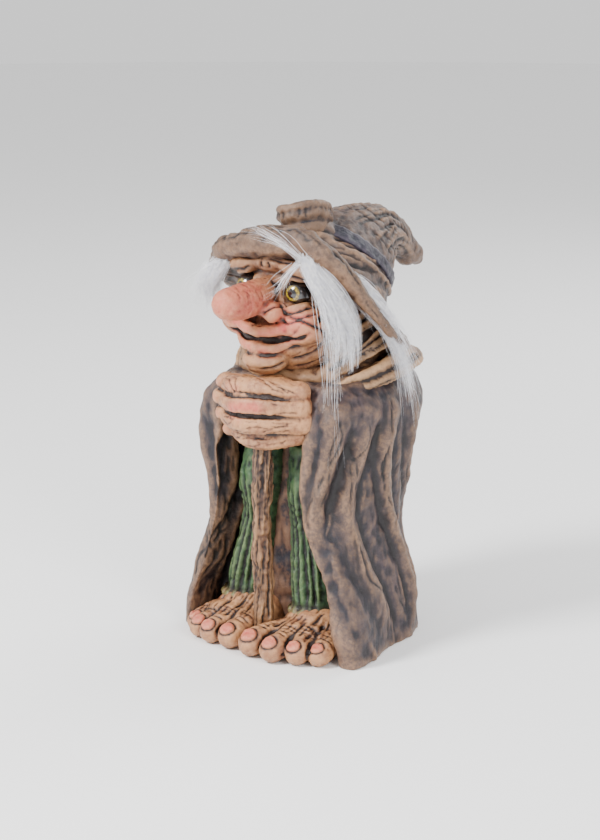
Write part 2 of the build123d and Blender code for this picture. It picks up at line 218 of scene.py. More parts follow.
class Sculpt:
    """A skin under the sculptor's tools, with layers of paint on its points."""

    LAYERS = ("wash", "tint", "deep", "glow")

    def __init__(self, mesh):
        self.mesh = mesh
        count = len(mesh.vertices)
        self.p = np.empty(count * 3)
        mesh.vertices.foreach_get("co", self.p)
        self.p = self.p.reshape(-1, 3)
        edges = np.empty(len(mesh.edges) * 2, np.int64)
        mesh.edges.foreach_get("vertices", edges)
        self.edges = edges.reshape(-1, 2)
        self.near = np.bincount(self.edges.ravel(), minlength=count).astype(float)
        self.layer = {name: np.zeros(count) for name in self.LAYERS}
        self.feel()

    def cling(self, path):
        """The path laid on the nearest points of the skin."""
        if self.tree is None:
            self.tree = kdtree.KDTree(len(self.p))
            for i, place in enumerate(self.p):
                self.tree.insert(place, i)
            self.tree.balance()
        return np.array([self.p[self.tree.find(place)[1]] for place in path])

    def feel(self):
        """Reads the normals afresh."""
        self.tree = None
        self.mesh.vertices.foreach_set("co", self.p.ravel())
        self.mesh.update()
        normals = np.empty(len(self.p) * 3)
        self.mesh.vertex_normals.foreach_get("vector", normals)
        self.n = normals.reshape(-1, 3)

    def spread(self, values):
        """Mean of each point's neighbours."""
        a, b = self.edges.T
        count = len(self.near)
        if values.ndim == 1:
            total = np.bincount(a, values[b], count) + np.bincount(b, values[a], count)
            return total / self.near
        return np.stack([self.spread(values[:, k]) for k in range(values.shape[1])], axis=1)

    def smooth(self, rounds):
        """Draws each point towards its neighbours."""
        for _ in range(rounds):
            self.p += (self.spread(self.p) - self.p) * 0.6
        self.feel()

    def paint(self, name, weight):
        """Adds to one layer of paint."""
        self.layer[name] = np.clip(self.layer[name] + weight, -1, 1)

    def near_path(self, points, path):
        """Distance to the path, and how far along it, for each point."""
        best = np.full(len(points), np.inf)
        along = np.zeros(len(points))
        for i, (a, b) in enumerate(zip(path, path[1:])):
            ab = b - a
            size = ab @ ab
            if size == 0:
                continue
            t = np.clip((points - a) @ ab / size, 0, 1)
            d = np.linalg.norm(points - a - t[:, None] * ab, axis=1)
            closer = d < best
            best[closer] = d[closer]
            along[closer] = (i + t[closer]) / (len(path) - 1)
        return best, along

    def stroke(self, places, width, depth=0, taper=True, space=None, **layers):
        """A ridge or, with a negative depth, a groove along a path, and paint along it."""
        points = self.p if space is None else space
        path = smooth_path(places, 6)
        if space is None:
            path = smooth_path(self.cling(path)[::3], 3)
        low, high = path.min(0) - 3 * width, path.max(0) + 3 * width
        pick = np.flatnonzero(((points > low) & (points < high)).all(axis=1))
        if not len(pick):
            return
        d, along = self.near_path(points[pick], path)
        weight = np.exp(-(d / width) ** 2)
        if taper:
            weight *= np.clip(np.sin(np.pi * np.clip(along, 0.02, 0.98)) * 2.2, 0, 1)
        if depth:
            self.p[pick] += self.n[pick] * (depth * weight)[:, None]
        for name, amount in layers.items():
            self.layer[name][pick] = np.clip(self.layer[name][pick] + amount * weight, -1, 1)

    def both(self, places, *args, **settings):
        """The same stroke on both sides."""
        self.stroke(places, *args, **settings)
        self.stroke([(-x, y, z) for x, y, z in places], *args, **settings)

    def dab(self, centre, radii, depth=0, **layers):
        """A soft round press, pull or dab of paint."""
        away = (self.p - np.asarray(centre, float)) / np.asarray(radii, float)
        weight = np.exp(-(away**2).sum(1))
        if depth:
            self.p += self.n * (depth * weight)[:, None]
        for name, amount in layers.items():
            self.paint(name, amount * weight)

    def two_dabs(self, centre, *args, **settings):
        """The same dab on both sides."""
        x, y, z = centre
        self.dab((x, y, z), *args, **settings)
        self.dab((-x, y, z), *args, **settings)

    def grain(self, size, depth, seed, stretch=(1, 1, 1)):
        """Uneven surface of a hand-made form."""
        shift = Vector((seed * 7.3, seed * 3.1, seed * 5.7))
        scaled = self.p / (size * np.asarray(stretch, float))
        bumps = np.array([noise.noise(Vector(row) + shift) for row in scaled])
        self.p += self.n * (bumps * depth)[:, None]

    def rough(self, *grains):
        """One grain after another, each on the skin that the last one left."""
        for grain in grains:
            self.feel()
            self.grain(*grain)

    def stand(self):
        """Flattens what lies under the ground."""
        self.p[:, 2] = np.maximum(self.p[:, 2], 0)

    def hollows(self, rounds, reach):
        """How deep each point lies under its surroundings, from -1 to 1."""
        soft = self.p.copy()
        for _ in range(rounds):
            soft += (self.spread(soft) - soft) * 0.9
        lift = ((soft - self.p) * self.n).sum(1) / reach
        return np.clip(lift, -1, 1)

    def done(self, name, material, *nodes):
        """The finished piece, riding on the body and standing for its nodes."""
        self.feel()
        # The cavity layer darkens the hollows with the wash colour: the figure's dark wash, and
        # painted shade in the hollows
        fine = self.hollows(4, 0.10)
        broad = self.hollows(28, 0.55)
        cavity = np.clip(np.maximum(fine * 0.75, broad), 0, 1)
        ridge = np.clip(np.maximum(-fine * 0.65, -broad), 0, 1)
        layers = dict(self.layer, cavity=cavity, ridge=ridge)
        self.mesh.vertices.foreach_set("co", (self.p * MM).ravel())
        for layer, values in layers.items():
            holder = self.mesh.attributes.new(layer, "FLOAT", "POINT")
            holder.data.foreach_set("value", values.astype(np.float32))
        self.mesh.polygons.foreach_set("use_smooth", np.ones(len(self.mesh.polygons), bool))
        self.mesh.materials.clear()
        self.mesh.materials.append(material)
        self.mesh.name = name
        self.mesh.update()
        piece = in_scene(name, self.mesh)
        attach(piece, "root")
        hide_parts(*nodes)


# Paint: shader maths written as expressions


class Level:
    """A number that varies over the surface."""

    def __init__(self, paint, socket):
        self.paint = paint
        self.socket = socket

    def _with(self, operation, first, second):
        node = self.paint.node("ShaderNodeMath", {"operation": operation}, [first, second])
        return Level(self.paint, node.outputs[0])

    def __add__(self, other):
        return self._with("ADD", self, other)

    __radd__ = __add__

    def __sub__(self, other):
        return self._with("SUBTRACT", self, other)

    def __rsub__(self, other):
        return self._with("SUBTRACT", other, self)

    def __mul__(self, other):
        return self._with("MULTIPLY", self, other)

    __rmul__ = __mul__

    def held(self):
        """The same number, kept from 0 to 1."""
        node = self.paint.node("ShaderNodeClamp", {}, [self])
        return Level(self.paint, node.outputs[0])


class Paint:
    """One material and its nodes."""

    def __init__(self, name):
        self.material = bpy.data.materials.new(name)
        self.material.use_nodes = True
        self.tree = self.material.node_tree
        self.tree.nodes.clear()
        self.place = self.node("ShaderNodeTexCoord").outputs["Object"]

    def node(self, kind, settings=None, inputs=None):
        """A node of a type, with its settings first and then what its sockets take."""
        made = self.tree.nodes.new(kind)
        for key, value in (settings or {}).items():
            if key == "stops":
                stops = made.color_ramp.elements
                while len(stops) < len(value):
                    stops.new(1)
                for stop, (position, colour) in zip(stops, value):
                    stop.position = position
                    stop.color = colour
            else:
                setattr(made, key, value)
        pairs = inputs.items() if isinstance(inputs, dict) else enumerate(inputs or ())
        for key, value in pairs:
            if isinstance(value, Level):
                value = value.socket
            if isinstance(value, bpy.types.NodeSocket):
                self.tree.links.new(value, made.inputs[key])
            else:
                made.inputs[key].default_value = value
        return made

    def layer(self, name):
        """A layer that the sculptor painted on the points."""
        made = self.node("ShaderNodeAttribute", {"attribute_name": name})
        return Level(self, made.outputs["Fac"])

    def clouds(self, size_mm, detail=3.0, rough=0.55, stretch=None):
        """Noise whose blotches are about as large as the size."""
        place = self.place
        if stretch is not None:
            turned = self.node("ShaderNodeMapping", {}, {"Vector": place, "Scale": stretch})
            place = turned.outputs[0]
        made = self.node("ShaderNodeTexNoise", {}, {
            "Vector": place, "Scale": 1 / (size_mm * MM), "Detail": detail, "Roughness": rough})
        return Level(self, made.outputs["Fac"])

    def ramp(self, level, low, high):
        """0 below low and 1 above high."""
        made = self.node("ShaderNodeMapRange", {"interpolation_type": "SMOOTHSTEP"},
                         {"Value": level, "From Min": low, "From Max": high})
        return Level(self, made.outputs["Result"])

    def mix(self, factor, first, second):
        """The second colour laid over the first."""
        made = self.node("ShaderNodeMix", {"data_type": "RGBA"}, {0: factor})
        for key, value in ((6, first), (7, second)):
            if isinstance(value, bpy.types.NodeSocket):
                self.tree.links.new(value, made.inputs[key])
            else:
                made.inputs[key].default_value = (*value, 1)
        return made.outputs[2]

    def surface(self, colour, roughness, height=None, **constants):
        """Ends the material in one shader, with a bump where a height is given."""
        shader = self.node("ShaderNodeBsdfPrincipled")
        values = {"Base Color": colour, "Roughness": roughness}
        values.update({key.replace("_", " "): value for key, value in constants.items()})
        for key, value in values.items():
            if isinstance(value, Level):
                value = value.socket
            if isinstance(value, bpy.types.NodeSocket):
                self.tree.links.new(value, shader.inputs[key])
            else:
                shader.inputs[key].default_value = value
        if height is not None:
            bump = self.node("ShaderNodeBump", {}, {
                "Height": height, "Distance": BUMP_DISTANCE, "Strength": BUMP_STRENGTH})
            self.tree.links.new(bump.outputs[0], shader.inputs["Normal"])
        self.node("ShaderNodeOutputMaterial", {}, {"Surface": shader.outputs[0]})


def srgb(red, green, blue):
    """A colour as the eye reads it, 0 to 255, in the shader's linear terms."""
    def linear(value):
        value = value / 255
        return value / 12.92 if value <= 0.04045 else ((value + 0.055) / 1.055) ** 2.4
    return (linear(red), linear(green), linear(blue))


BUMP_DISTANCE = 0.0006
BUMP_STRENGTH = 0.7
ROUND_STREAK = (1, 1, 1)


def cast_paint(name, coats, gloss=0.62, streak=ROUND_STREAK, patches=0.0):
    """Hand-painted cast rubber, from its six coats: base, second, wash, glow, tint and deep.

    The wash lies in the hollows and grooves, as the figure's dark wash and as painted shade there,
    the glow is dry brushed on the ridges, and the tint and the deep coat go where the sculptor
    painted them.
    """
    base, second, wash, glow, tint, deep = coats
    paint = Paint(name)
    blotch = paint.clouds(9.0, 4.0, 0.6, streak)
    shade = paint.clouds(15.0, 5.0, 0.65, streak)
    fleck = paint.clouds(1.5, 5.0, 0.7, streak)
    speck = paint.clouds(0.5, 3.0, 0.7)
    colour = paint.mix(paint.ramp(blotch + (fleck - 0.5) * 0.6, 0.40, 0.62), base, second)
    colour = paint.mix((paint.layer("tint") * (0.45 + fleck)).held(), colour, tint)
    stains = paint.ramp(shade + (fleck - 0.5) * 0.5, 0.47, 0.63) * patches
    night = paint.layer("deep") * (0.5 + fleck) + stains
    colour = paint.mix(night.held(), colour, deep)
    broken = paint.ramp(fleck + blotch * 0.25, 0.48, 0.78) * 0.65 + 0.35
    rubbed = (paint.layer("ridge") * 0.6 + paint.layer("glow") * 0.7) * broken
    colour = paint.mix(rubbed.held() * 0.85, colour, glow)
    dirt = paint.ramp(speck, 0.62, 0.76) * 0.3
    # Dark wash and painted shade in the hollows and grooves from the cavity and wash layers, and
    # specks of dirt
    dirt_wash_and_shade = paint.layer("cavity") * 0.95 + paint.layer("wash") * 0.6 + dirt
    colour = paint.mix((dirt_wash_and_shade * (0.5 + fleck * 0.85)).held(), colour, wash)
    roughness = (gloss + (fleck - 0.5) * 0.35 - paint.layer("ridge") * 0.08).held()
    height = fleck * 0.8 + speck * 0.5 + paint.clouds(3.2, 3.0, 0.6, streak) * 0.8
    paint.surface(colour, roughness, height, Specular_IOR_Level=0.45)
    return paint.material


# Colours and sizes that a maker would change


def colour_field(name, description, default):
    """A colour that the user may change."""
    return bpy.props.FloatVectorProperty(
        name=name, description=description, subtype="COLOR", size=3, min=0, max=1,
        default=default)


class TrollPaints(bpy.types.PropertyGroup):
    """Colours of the painted figure."""

    skin: colour_field("Skin", "Pale base coat of face, hands and feet", srgb(176, 124, 84))
    skin_warm: colour_field("Warm skin", "Browner second coat of the skin", srgb(128, 78, 52))
    blush: colour_field("Blush", "Pink of nose, lips, knuckles and nails", srgb(186, 74, 66))
    # Dark brown of the skin's creases and hollows: the figure's own wash, and painted shade there
    brown_wash_and_shade: colour_field("Brown wash", "Dark wash that lies in the creases", srgb(34, 17, 12))
    cloak: colour_field("Cloak", "Grey violet coat of the cloak", srgb(50, 40, 45))
    cloak_night: colour_field("Cloak night", "Blue black in the cloak's hollows", srgb(17, 15, 29))
    tan: colour_field("Tan", "Bare tan that shows on worn ridges", srgb(146, 112, 84))
    hat: colour_field("Hat", "Brown grey coat of the hat", srgb(76, 60, 54))
    band: colour_field("Band", "Blue black band of the hat", srgb(26, 27, 42))
    trousers: colour_field("Trousers", "Green of the trousers", srgb(44, 78, 48))


class TrollSizes(bpy.types.PropertyGroup):
    """Sizes of the sculpted figure."""

    skin_grain: bpy.props.FloatProperty(
        name="Skin grain", description="Side of the smallest face on face, hands and feet",
        default=0.00042, min=0.0002, max=0.002, unit="LENGTH")
    cloth_grain: bpy.props.FloatProperty(
        name="Cloth grain", description="Side of the smallest face on cloak and hat",
        default=0.00072, min=0.0003, max=0.003, unit="LENGTH")
    fur_hairs: bpy.props.IntProperty(
        name="Fur hairs", description="Hairs in the largest tuft", default=1700, min=100, max=6000)
    hair_radius: bpy.props.FloatProperty(
        name="Hair radius", description="Radius of one hair at its root",
        default=0.00006, min=0.00002, max=0.0005, unit="LENGTH")


def sizes():
    """The sizes set in the scene."""
    return bpy.context.scene.troll_sizes


def skin_grain():
    return sizes().skin_grain / MM * 1


def cloth_grain():
    return sizes().cloth_grain / MM * 1


def tone(name):
    """A colour set in the scene."""
    return tuple(getattr(bpy.context.scene.troll_paints, name))


def skin_paint(name):
    """Coats of the bare skin; the last, dark brown, is painted shade on the head."""
    coats = (tone("skin"), tone("skin_warm"), tone("brown_wash_and_shade"), srgb(214, 168, 124),
             tone("blush"), srgb(70, 36, 26))
    return cast_paint(name, coats, gloss=0.45)


def cloth_paint(name, base, second, deep, patches):
    """Coats of the cloak's and the hat's cloth."""
    coats = (base, second, srgb(18, 12, 13), tone("tan"), srgb(92, 62, 44), deep)
    return cast_paint(name, coats, gloss=0.5, patches=patches)


# The cloak

CLOAK_HEIGHT = 106.0
CLOAK_WIDTH = 42.0
CLOAK_FRONT = 38.0
CLOAK_BACK = 39.0
UNROLL = 0.68
# Height, left front corner, right front corner, side, front, back
CLOAK_SHARES = (
    (0.00, 1.08, 0.96, 0.97, 1.00, 0.84),
    (0.15, 1.06, 0.91, 0.93, 1.00, 0.80),
    (0.38, 0.84, 0.69, 0.80, 0.98, 0.65),
    (0.56, 0.68, 0.64, 0.79, 0.97, 0.70),
    (0.72, 0.64, 0.73, 0.83, 0.97, 0.84),
    (0.90, 0.79, 0.72, 0.90, 0.96, 0.98),
    (1.00, 0.66, 0.52, 0.74, 0.80, 0.86),
)
# Edges of the open front, out from the middle and up from the ground
NICHE_RIGHT = ((-38.8, -2.0), (-38.8, 0.0), (-35.7, 13.6), (-28.1, 31.0), (-23.6, 48.5),
               (-22.0, 60.1), (-23.6, 75.7), (-19.0, 91.2), (0.0, 97.0))
NICHE_LEFT = ((39.1, -2.0), (39.1, 0.0), (38.0, 9.7), (33.8, 25.2), (29.3, 35.9), (22.4, 50.4),
              (18.2, 62.1), (19.8, 81.5), (22.8, 91.2))
NICHE_FRONT = -60.0
NICHE_BACK = -20.0
PLUG_RECESS_RADIUS = 15.6
PLUG_RECESS_DEPTH = 2.6
CUT_OVERRUN = 3.0
# Folds: angle at the shoulder, swing of the S, width, depth
FOLDS = (
    (32, 4, 1.8, 0.9), (47, 12, 3.0, 1.8), (66, 17, 3.6, 2.3), (88, 18, 3.8, 2.4),
    (112, 15, 4.0, 2.4), (136, 12, 3.8, 2.1), (161, 10, 4.2, 2.3), (187, 10, 3.8, 2.0),
    (212, 12, 4.2, 2.3), (236, 14, 3.8, 2.2), (258, 15, 3.8, 2.3), (279, 13, 3.4, 2.1),
    (299, 10, 3.0, 1.9), (315, 6, 2.4, 1.4), (328, 3, 1.6, 0.8),
)


def cloak_ring(row, count=96):
    """The cloak's outline at one level."""
    level, left, right, side, front, back = row
    half = CLOAK_WIDTH * side
    ahead = CLOAK_FRONT * front
    behind = CLOAK_BACK * back

    def flank(corner):
        return [(corner * 0.52, -ahead * 0.98), (corner, -ahead),
                ((corner + half) / 2 * 1.06, -ahead * 0.62), (half, -ahead * 0.20)]

    def mirrored(spots):
        return [(-x, y) for x, y in spots[::-1]]

    rear = [(half * 0.97, behind * 0.25), (half * 0.76, behind * 0.70),
            (half * 0.38, behind * 0.95)]
    loop = closed_curve(flank(CLOAK_WIDTH * left) + rear + [(0, behind)] + mirrored(rear)
                        + mirrored(flank(CLOAK_WIDTH * right)), count)
    return np.column_stack([loop, np.full(count, CLOAK_HEIGHT * level)])


def unrolled(points):
    """Way round the figure, from the front over its left side, and height."""
    turn = np.degrees(np.arctan2(points[:, 0], -points[:, 1])) % 360
    return np.column_stack([turn * UNROLL, np.zeros(len(points)), points[:, 2]])


def niche_edge(side, height):
    """How far out the open front's edge stands on one side."""
    wall = np.array(NICHE_LEFT if side > 0 else NICHE_RIGHT)
    return np.interp(height, wall[:, 1], wall[:, 0])


def cloak_clay():
    """The cloak's body, with its open front and the seat of its plug cut out."""
    clay = Clay()
    clay.loft([cloak_ring(row) for row in smooth_path(CLOAK_SHARES, 7)])
    niche = Clay()
    outline = np.array(NICHE_RIGHT + NICHE_LEFT[::-1])
    front = np.column_stack([outline[:, 0], np.full(len(outline), NICHE_FRONT), outline[:, 1]])
    niche.loft([front, front + (0, NICHE_BACK - NICHE_FRONT, 0)])
    recess = Clay()
    rim = oval(round_turns(48), PLUG_RECESS_RADIUS, PLUG_RECESS_RADIUS, height=-CUT_OVERRUN)
    recess.loft([rim, rim + (0, 0, CUT_OVERRUN + PLUG_RECESS_DEPTH)])
    return clay.skin(cloth_grain(), [niche, recess])


def make_cloak():
    """The draped cloak: long S folds, fine creases between them and a worn hem."""
    work = Sculpt(cloak_clay())
    work.smooth(4)
    x, y, z = work.p.T
    inside = (x < niche_edge(1, z) + 0.4) & (x > niche_edge(-1, z) - 0.4) & (y < -6)
    inside &= (y > -36.5) & (z < 98)
    front_half = y < -6
    outer = (~inside).astype(float)
    for _ in range(4):
        outer = work.spread(outer)

    chance = random.Random(11)
    flat = unrolled(work.p)
    for shoulder, swing, width, depth in FOLDS:
        phase = 0.4 + shoulder * 0.035
        top = chance.uniform(94, 104)
        low = chance.uniform(0, 14)
        path = []
        for i in range(11):
            t = i / 10
            bend = (math.sin(t * 5.6 + phase) - math.sin(phase)) * (0.3 + 0.7 * t)
            turn = shoulder + swing * bend + chance.uniform(-0.7, 0.7)
            path.append((turn * UNROLL, 0, top + (low - top) * t))
        work.stroke(path, width, depth, space=flat, glow=0.5)
        for away, slim, cut in ((1.9, 0.85, -0.75), (-1.6, 0.6, -0.4)):
            side = [(x + width * away, y, z) for x, y, z in path]
            work.stroke(side, width * slim, depth * cut, space=flat, deep=0.9)
        for _ in range(2):
            cut = chance.randrange(6)
            thin = [(x + chance.uniform(-0.8, 0.8) * width, y, z) for x, y, z in path[cut:cut + 5]]
            work.stroke(thin, 0.5, -0.45, space=flat, wash=0.6)
    for _ in range(80):
        turn = chance.uniform(28, 332)
        z = chance.uniform(6, 98)
        lean = chance.uniform(-5, 5)
        size = chance.uniform(6, 20)
        path = [(turn * UNROLL, 0, z),
                ((turn + lean * 0.6) * UNROLL + chance.uniform(-1, 1), 0, z - size * 0.5),
                ((turn + lean) * UNROLL, 0, z - size)]
        ridge = chance.random() < 0.55
        work.stroke(path, chance.uniform(0.5, 0.9), space=flat,
                    **worn(ridge, 0.38, 0.42, 0.35, 0.35))
    for _ in range(70):
        z = chance.uniform(3, 96)
        y = chance.uniform(-34, -22)
        x = float(niche_edge(chance.choice((-1, 1)), z))
        path = [(x, y, z), (x, y + chance.uniform(-2, 2), z - chance.uniform(5, 14))]
        work.stroke(path, 0.7, -0.4, wash=0.4)
    work.rough((4.5, 0.55, 1), (1.7, 0.22, 2, (1, 1, 2.2)))
    work.stand()
    work.feel()
    work.layer["tint"] = np.clip(1 - outer * 1.15, 0, 1)
    hem = np.exp(-(work.p[:, 2] / 3.0) ** 2)
    work.paint("glow", hem * 0.5 * outer)
    rim = np.clip(outer * (1 - outer) * 4, 0, 1) * front_half
    work.paint("glow", rim * 0.8)
    material = cloth_paint("cloak coat", tone("cloak"), srgb(60, 48, 54), tone("cloak_night"), 1.0)
    work.done("cloak_cast", material, "cloak")


# Radius and height
PLUG_RINGS = ((15.0, 0.0), (15.0, 2.2), (12.0, 2.2), (12.0, 6.4))


def make_plug():
    """The rubber plug in the cloak's base."""
    clay = Clay()
    clay.loft([oval(round_turns(64), radius, radius, height=height)
               for radius, height in PLUG_RINGS])
    work = Sculpt(clay.skin(cloth_grain()))
    work.smooth(2)
    work.stand()
    rubber = srgb(58, 52, 48)
    coats = (rubber, srgb(46, 42, 40), srgb(24, 20, 18), srgb(88, 80, 72), rubber, srgb(30, 26, 24))
    work.done("plug_cast", cast_paint("plug rubber", coats), "base_plug")


# The collar

# Each roll from the nape to the throat: place and radius
COLLAR_ROPES = (
    ((0, 31, 111, 6.0), (25, 24, 112, 6.0), (35, 6, 111, 5.0), (31, -13, 106, 4.0),
     (21, -25, 102, 3.5)),
    ((0, 28, 122, 7.0), (22, 20, 124, 6.4), (30.5, 5, 123, 5.0), (28.5, -12, 116, 4.0),
     (21, -24, 109, 3.6)),
    ((0, 22, 131, 6.4), (17, 16, 132, 6.0), (25.5, 3, 130, 5.0), (25.5, -12, 125, 4.0),
     (22, -22, 118, 3.4)),
)


def make_collar():
    """The cloth wound round the neck in three rolls."""
    clay = Clay()
    clay.ball((0, 2, 120), (31, 28, 18))
    clay.ball((0, -2, 107), (34, 32, 7))
    for rope in COLLAR_ROPES:
        clay.rope(rope, both=True)
    work = Sculpt(clay.skin(cloth_grain()))
    work.smooth(16)
    chance = random.Random(5)
    for rope in COLLAR_ROPES:
        for _ in range(20):
            lift = chance.uniform(-6, 6)
            near = chance.uniform(-2, 3)
            path = [((x + near) * 1.12, y * 1.14, z + lift)
                    for x, y, z, _ in rope[chance.choice((0, 1)):]]
            ridge = chance.random() < 0.5
            work.both(path, chance.uniform(0.6, 1.2), **worn(ridge, 0.5, 0.6, 0.6, 0.7))
    work.rough((3.2, 0.5, 3), (1.2, 0.18, 4))
    work.p[:, :2] *= 0.95
    tuck_under_hat(work, 2.4)
    coats = (srgb(140, 104, 74), srgb(98, 62, 42), srgb(30, 16, 12), srgb(188, 148, 108),
             srgb(92, 56, 34), srgb(44, 30, 32))
    material = cast_paint("collar cloth", coats, gloss=0.5, patches=0.3)
    work.done("collar_cast", material, "collar")


# The hat

HAT_FRAME = Matrix.Translation((0, -5, 136)) @ Matrix.Rotation(math.radians(-36), 4, "X")
# The brim by angle from the left side: lift of its edge, reach, and thickness of its rolled edge
BRIM_LIFT = ((0, -10), (30, -7), (55, 1), (90, 1), (180, 0), (210, -2), (240, 2), (270, 7),
             (290, 11), (315, 5), (340, -5))
BRIM_REACH = ((0, 43), (45, 42), (90, 45), (135, 42), (180, 43), (225, 43), (270, 45), (315, 44))
BRIM_EDGE = ((0, 5), (45, 4), (90, 4), (180, 5), (225, 6.5), (255, 9), (280, 11), (305, 9.5),
             (330, 7))
BRIM_THICKNESS = 3.6
BRIM_FLAT = 18
# Back, up, tilt, half width, half length
CROWN_SPINE = (
    (-4, 136, 36, 27.5, 27.5), (0, 140, 36, 26, 27), (6, 144.5, 38, 22.5, 24.5),
    (15, 150, 42, 18.5, 22), (23, 154, 52, 15.5, 16.5), (31, 156, 66, 12.5, 11.5),
    (38, 155.2, 84, 10, 8.8), (44, 152.2, 98, 8, 7), (50.5, 147.6, 112, 6.2, 5.6),
    (56, 143.0, 122, 5.2, 5.2),
)
# Where the band lies, counted along the spine's rows
BAND_LOW, BAND_HIGH = 2.25, 2.80
CROWN_SIDES = 72


def in_hat(places):
    """Places of the hat's own frame, in the figure's."""
    turn = np.array(HAT_FRAME.to_3x3())
    return np.asarray(places, float) @ turn.T + np.array(HAT_FRAME.translation)


def brim_rise(turn, radius):
    """Lift of the brim's underside over its flat middle."""
    reach = at_angle(BRIM_REACH, turn)
    out = np.clip((radius - BRIM_FLAT) / (reach - BRIM_FLAT), 0, 1.2)
    return at_angle(BRIM_LIFT, turn) * out**1.7


def brim_place(turn, radius, lift=0.0):
    """Places on the brim by angle and radius, or above it by the lift."""
    angle = np.radians(turn)
    return np.column_stack([radius * np.cos(angle), radius * np.sin(angle),
                            brim_rise(turn, radius) + lift])


def tuck_under_hat(work, depth):
    """Presses whatever stands through the brim back under its top."""
    turn = np.array(HAT_FRAME.to_3x3())
    rest = (work.p - np.array(HAT_FRAME.translation)) @ turn
    out = np.hypot(rest[:, 0], rest[:, 1])
    around = np.degrees(np.arctan2(rest[:, 1], rest[:, 0]))
    excess = np.maximum(rest[:, 2] - brim_rise(around, out) + depth, 0)
    work.p -= np.outer(excess, turn[:, 2])
    work.feel()


def brim_clay():
    """The brim's body, from its underside over the rolled edge to its top."""
    turns = np.linspace(0, 360, 144, endpoint=False)
    ripple = 0.8 * np.sin(np.radians(turns * 5)) + 0.5 * np.sin(np.radians(turns * 11))
    reach = at_angle(BRIM_REACH, turns) + ripple
    thick = at_angle(BRIM_EDGE, turns)
    rings = [brim_place(turns, reach * share, 0.5) for share in (0.2, 0.45, 0.7, 0.86)]
    for share, drop in ((0.95, 0.02), (0.99, 0.25), (1.0, 0.5), (0.985, 0.75), (0.95, 0.95),
                        (0.91, 1.0)):
        rings.append(brim_place(turns, reach * share, -thick * drop))
    for share in (0.78, 0.6, 0.4, 0.2):
        wall = BRIM_THICKNESS + (thick - BRIM_THICKNESS) * (share / 0.91) ** 4
        rings.append(brim_place(turns, reach * share, -wall))
    clay = Clay()
    clay.loft([in_hat(ring) for ring in rings])
    return clay.skin(cloth_grain())


def make_brim():
    """The floppy brim, creased out from the crown and worn along its edge."""
    work = Sculpt(brim_clay())
    work.smooth(5)
    chance = random.Random(21)
    for _ in range(95):
        turn = chance.uniform(0, 360)
        start, end = sorted((chance.uniform(22, 42), chance.uniform(22, 43)))
        sweep = chance.uniform(4, 26) * chance.choice((-1, 1))
        for lift in (0.2, -BRIM_THICKNESS):
            path = in_hat(np.vstack([
                brim_place(np.array([turn + sweep * t]), start + (end - start) * t, lift)
                for t in (0, 0.5, 1)]))
            ridge = chance.random() < 0.5
            work.stroke(path, chance.uniform(0.5, 1.1), **worn(ridge, 0.35, 0.45, 0.35, 0.4))
    for k in range(40):
        turn = k * 9 + chance.uniform(-3, 3)
        reach = float(at_angle(BRIM_REACH, turn))
        spot = in_hat(brim_place(np.array([turn]), reach, -chance.uniform(0, 5)))[0]
        work.dab(spot, chance.uniform(1.6, 3.4), chance.choice((-0.8, 0.5)))
        drop = chance.uniform(1, 5)
        rim = in_hat(np.vstack([brim_place(np.array([turn + j * 4.0]), reach, -drop - 0.3 * j)
                                for j in range(4)]))
        work.stroke(rim, 0.55, -0.4, wash=0.4)
    work.rough((3.4, 0.45, 6), (1.2, 0.16, 7))
    turn = np.array(HAT_FRAME.to_3x3())
    rest = (work.p - np.array(HAT_FRAME.translation)) @ turn
    out = np.hypot(rest[:, 0], rest[:, 1])
    edge = np.clip((out - 38) / 4, 0, 1)
    under = np.clip(-(work.n @ turn[:, 2]) * 2, 0, 1)
    lip = np.exp(-((out - 39.5) / 2.0) ** 2) * np.clip(under * 2, 0, 1)
    work.paint("glow", edge * 0.08 + lip * 0.7)
    work.paint("tint", under * 0.6)
    # Painted shade on the brim's top, darker towards the crown
    work.paint("wash", np.clip((30 - out) / 10, 0, 1) * 0.35 * (1 - under))
    material = cloth_paint("hat brim coat", srgb(48, 36, 35), srgb(36, 27, 30), srgb(24, 17, 24),
                           0.6)
    work.done("brim_cast", material, "hat_brim")


def crown_ring(row, extra=0.0):
    """The crown's outline across its spine."""
    back, up, tilt, half_width, half_length = row
    turn = math.radians(tilt)
    angles = round_turns(CROWN_SIDES)
    along = np.array((0, math.cos(turn), -math.sin(turn)))
    across = np.array((1.0, 0, 0))
    return (np.array((0, back, up)) + np.outer(np.cos(angles) * (half_width + extra), across)
            + np.outer(np.sin(angles) * (half_length + extra), along))


def crown_at(place, extra=0.0):
    """The crown's outline anywhere along its spine."""
    rows = np.array(CROWN_SPINE, float)
    spots = np.arange(len(rows))
    return crown_ring([np.interp(place, spots, column) for column in rows.T], extra)


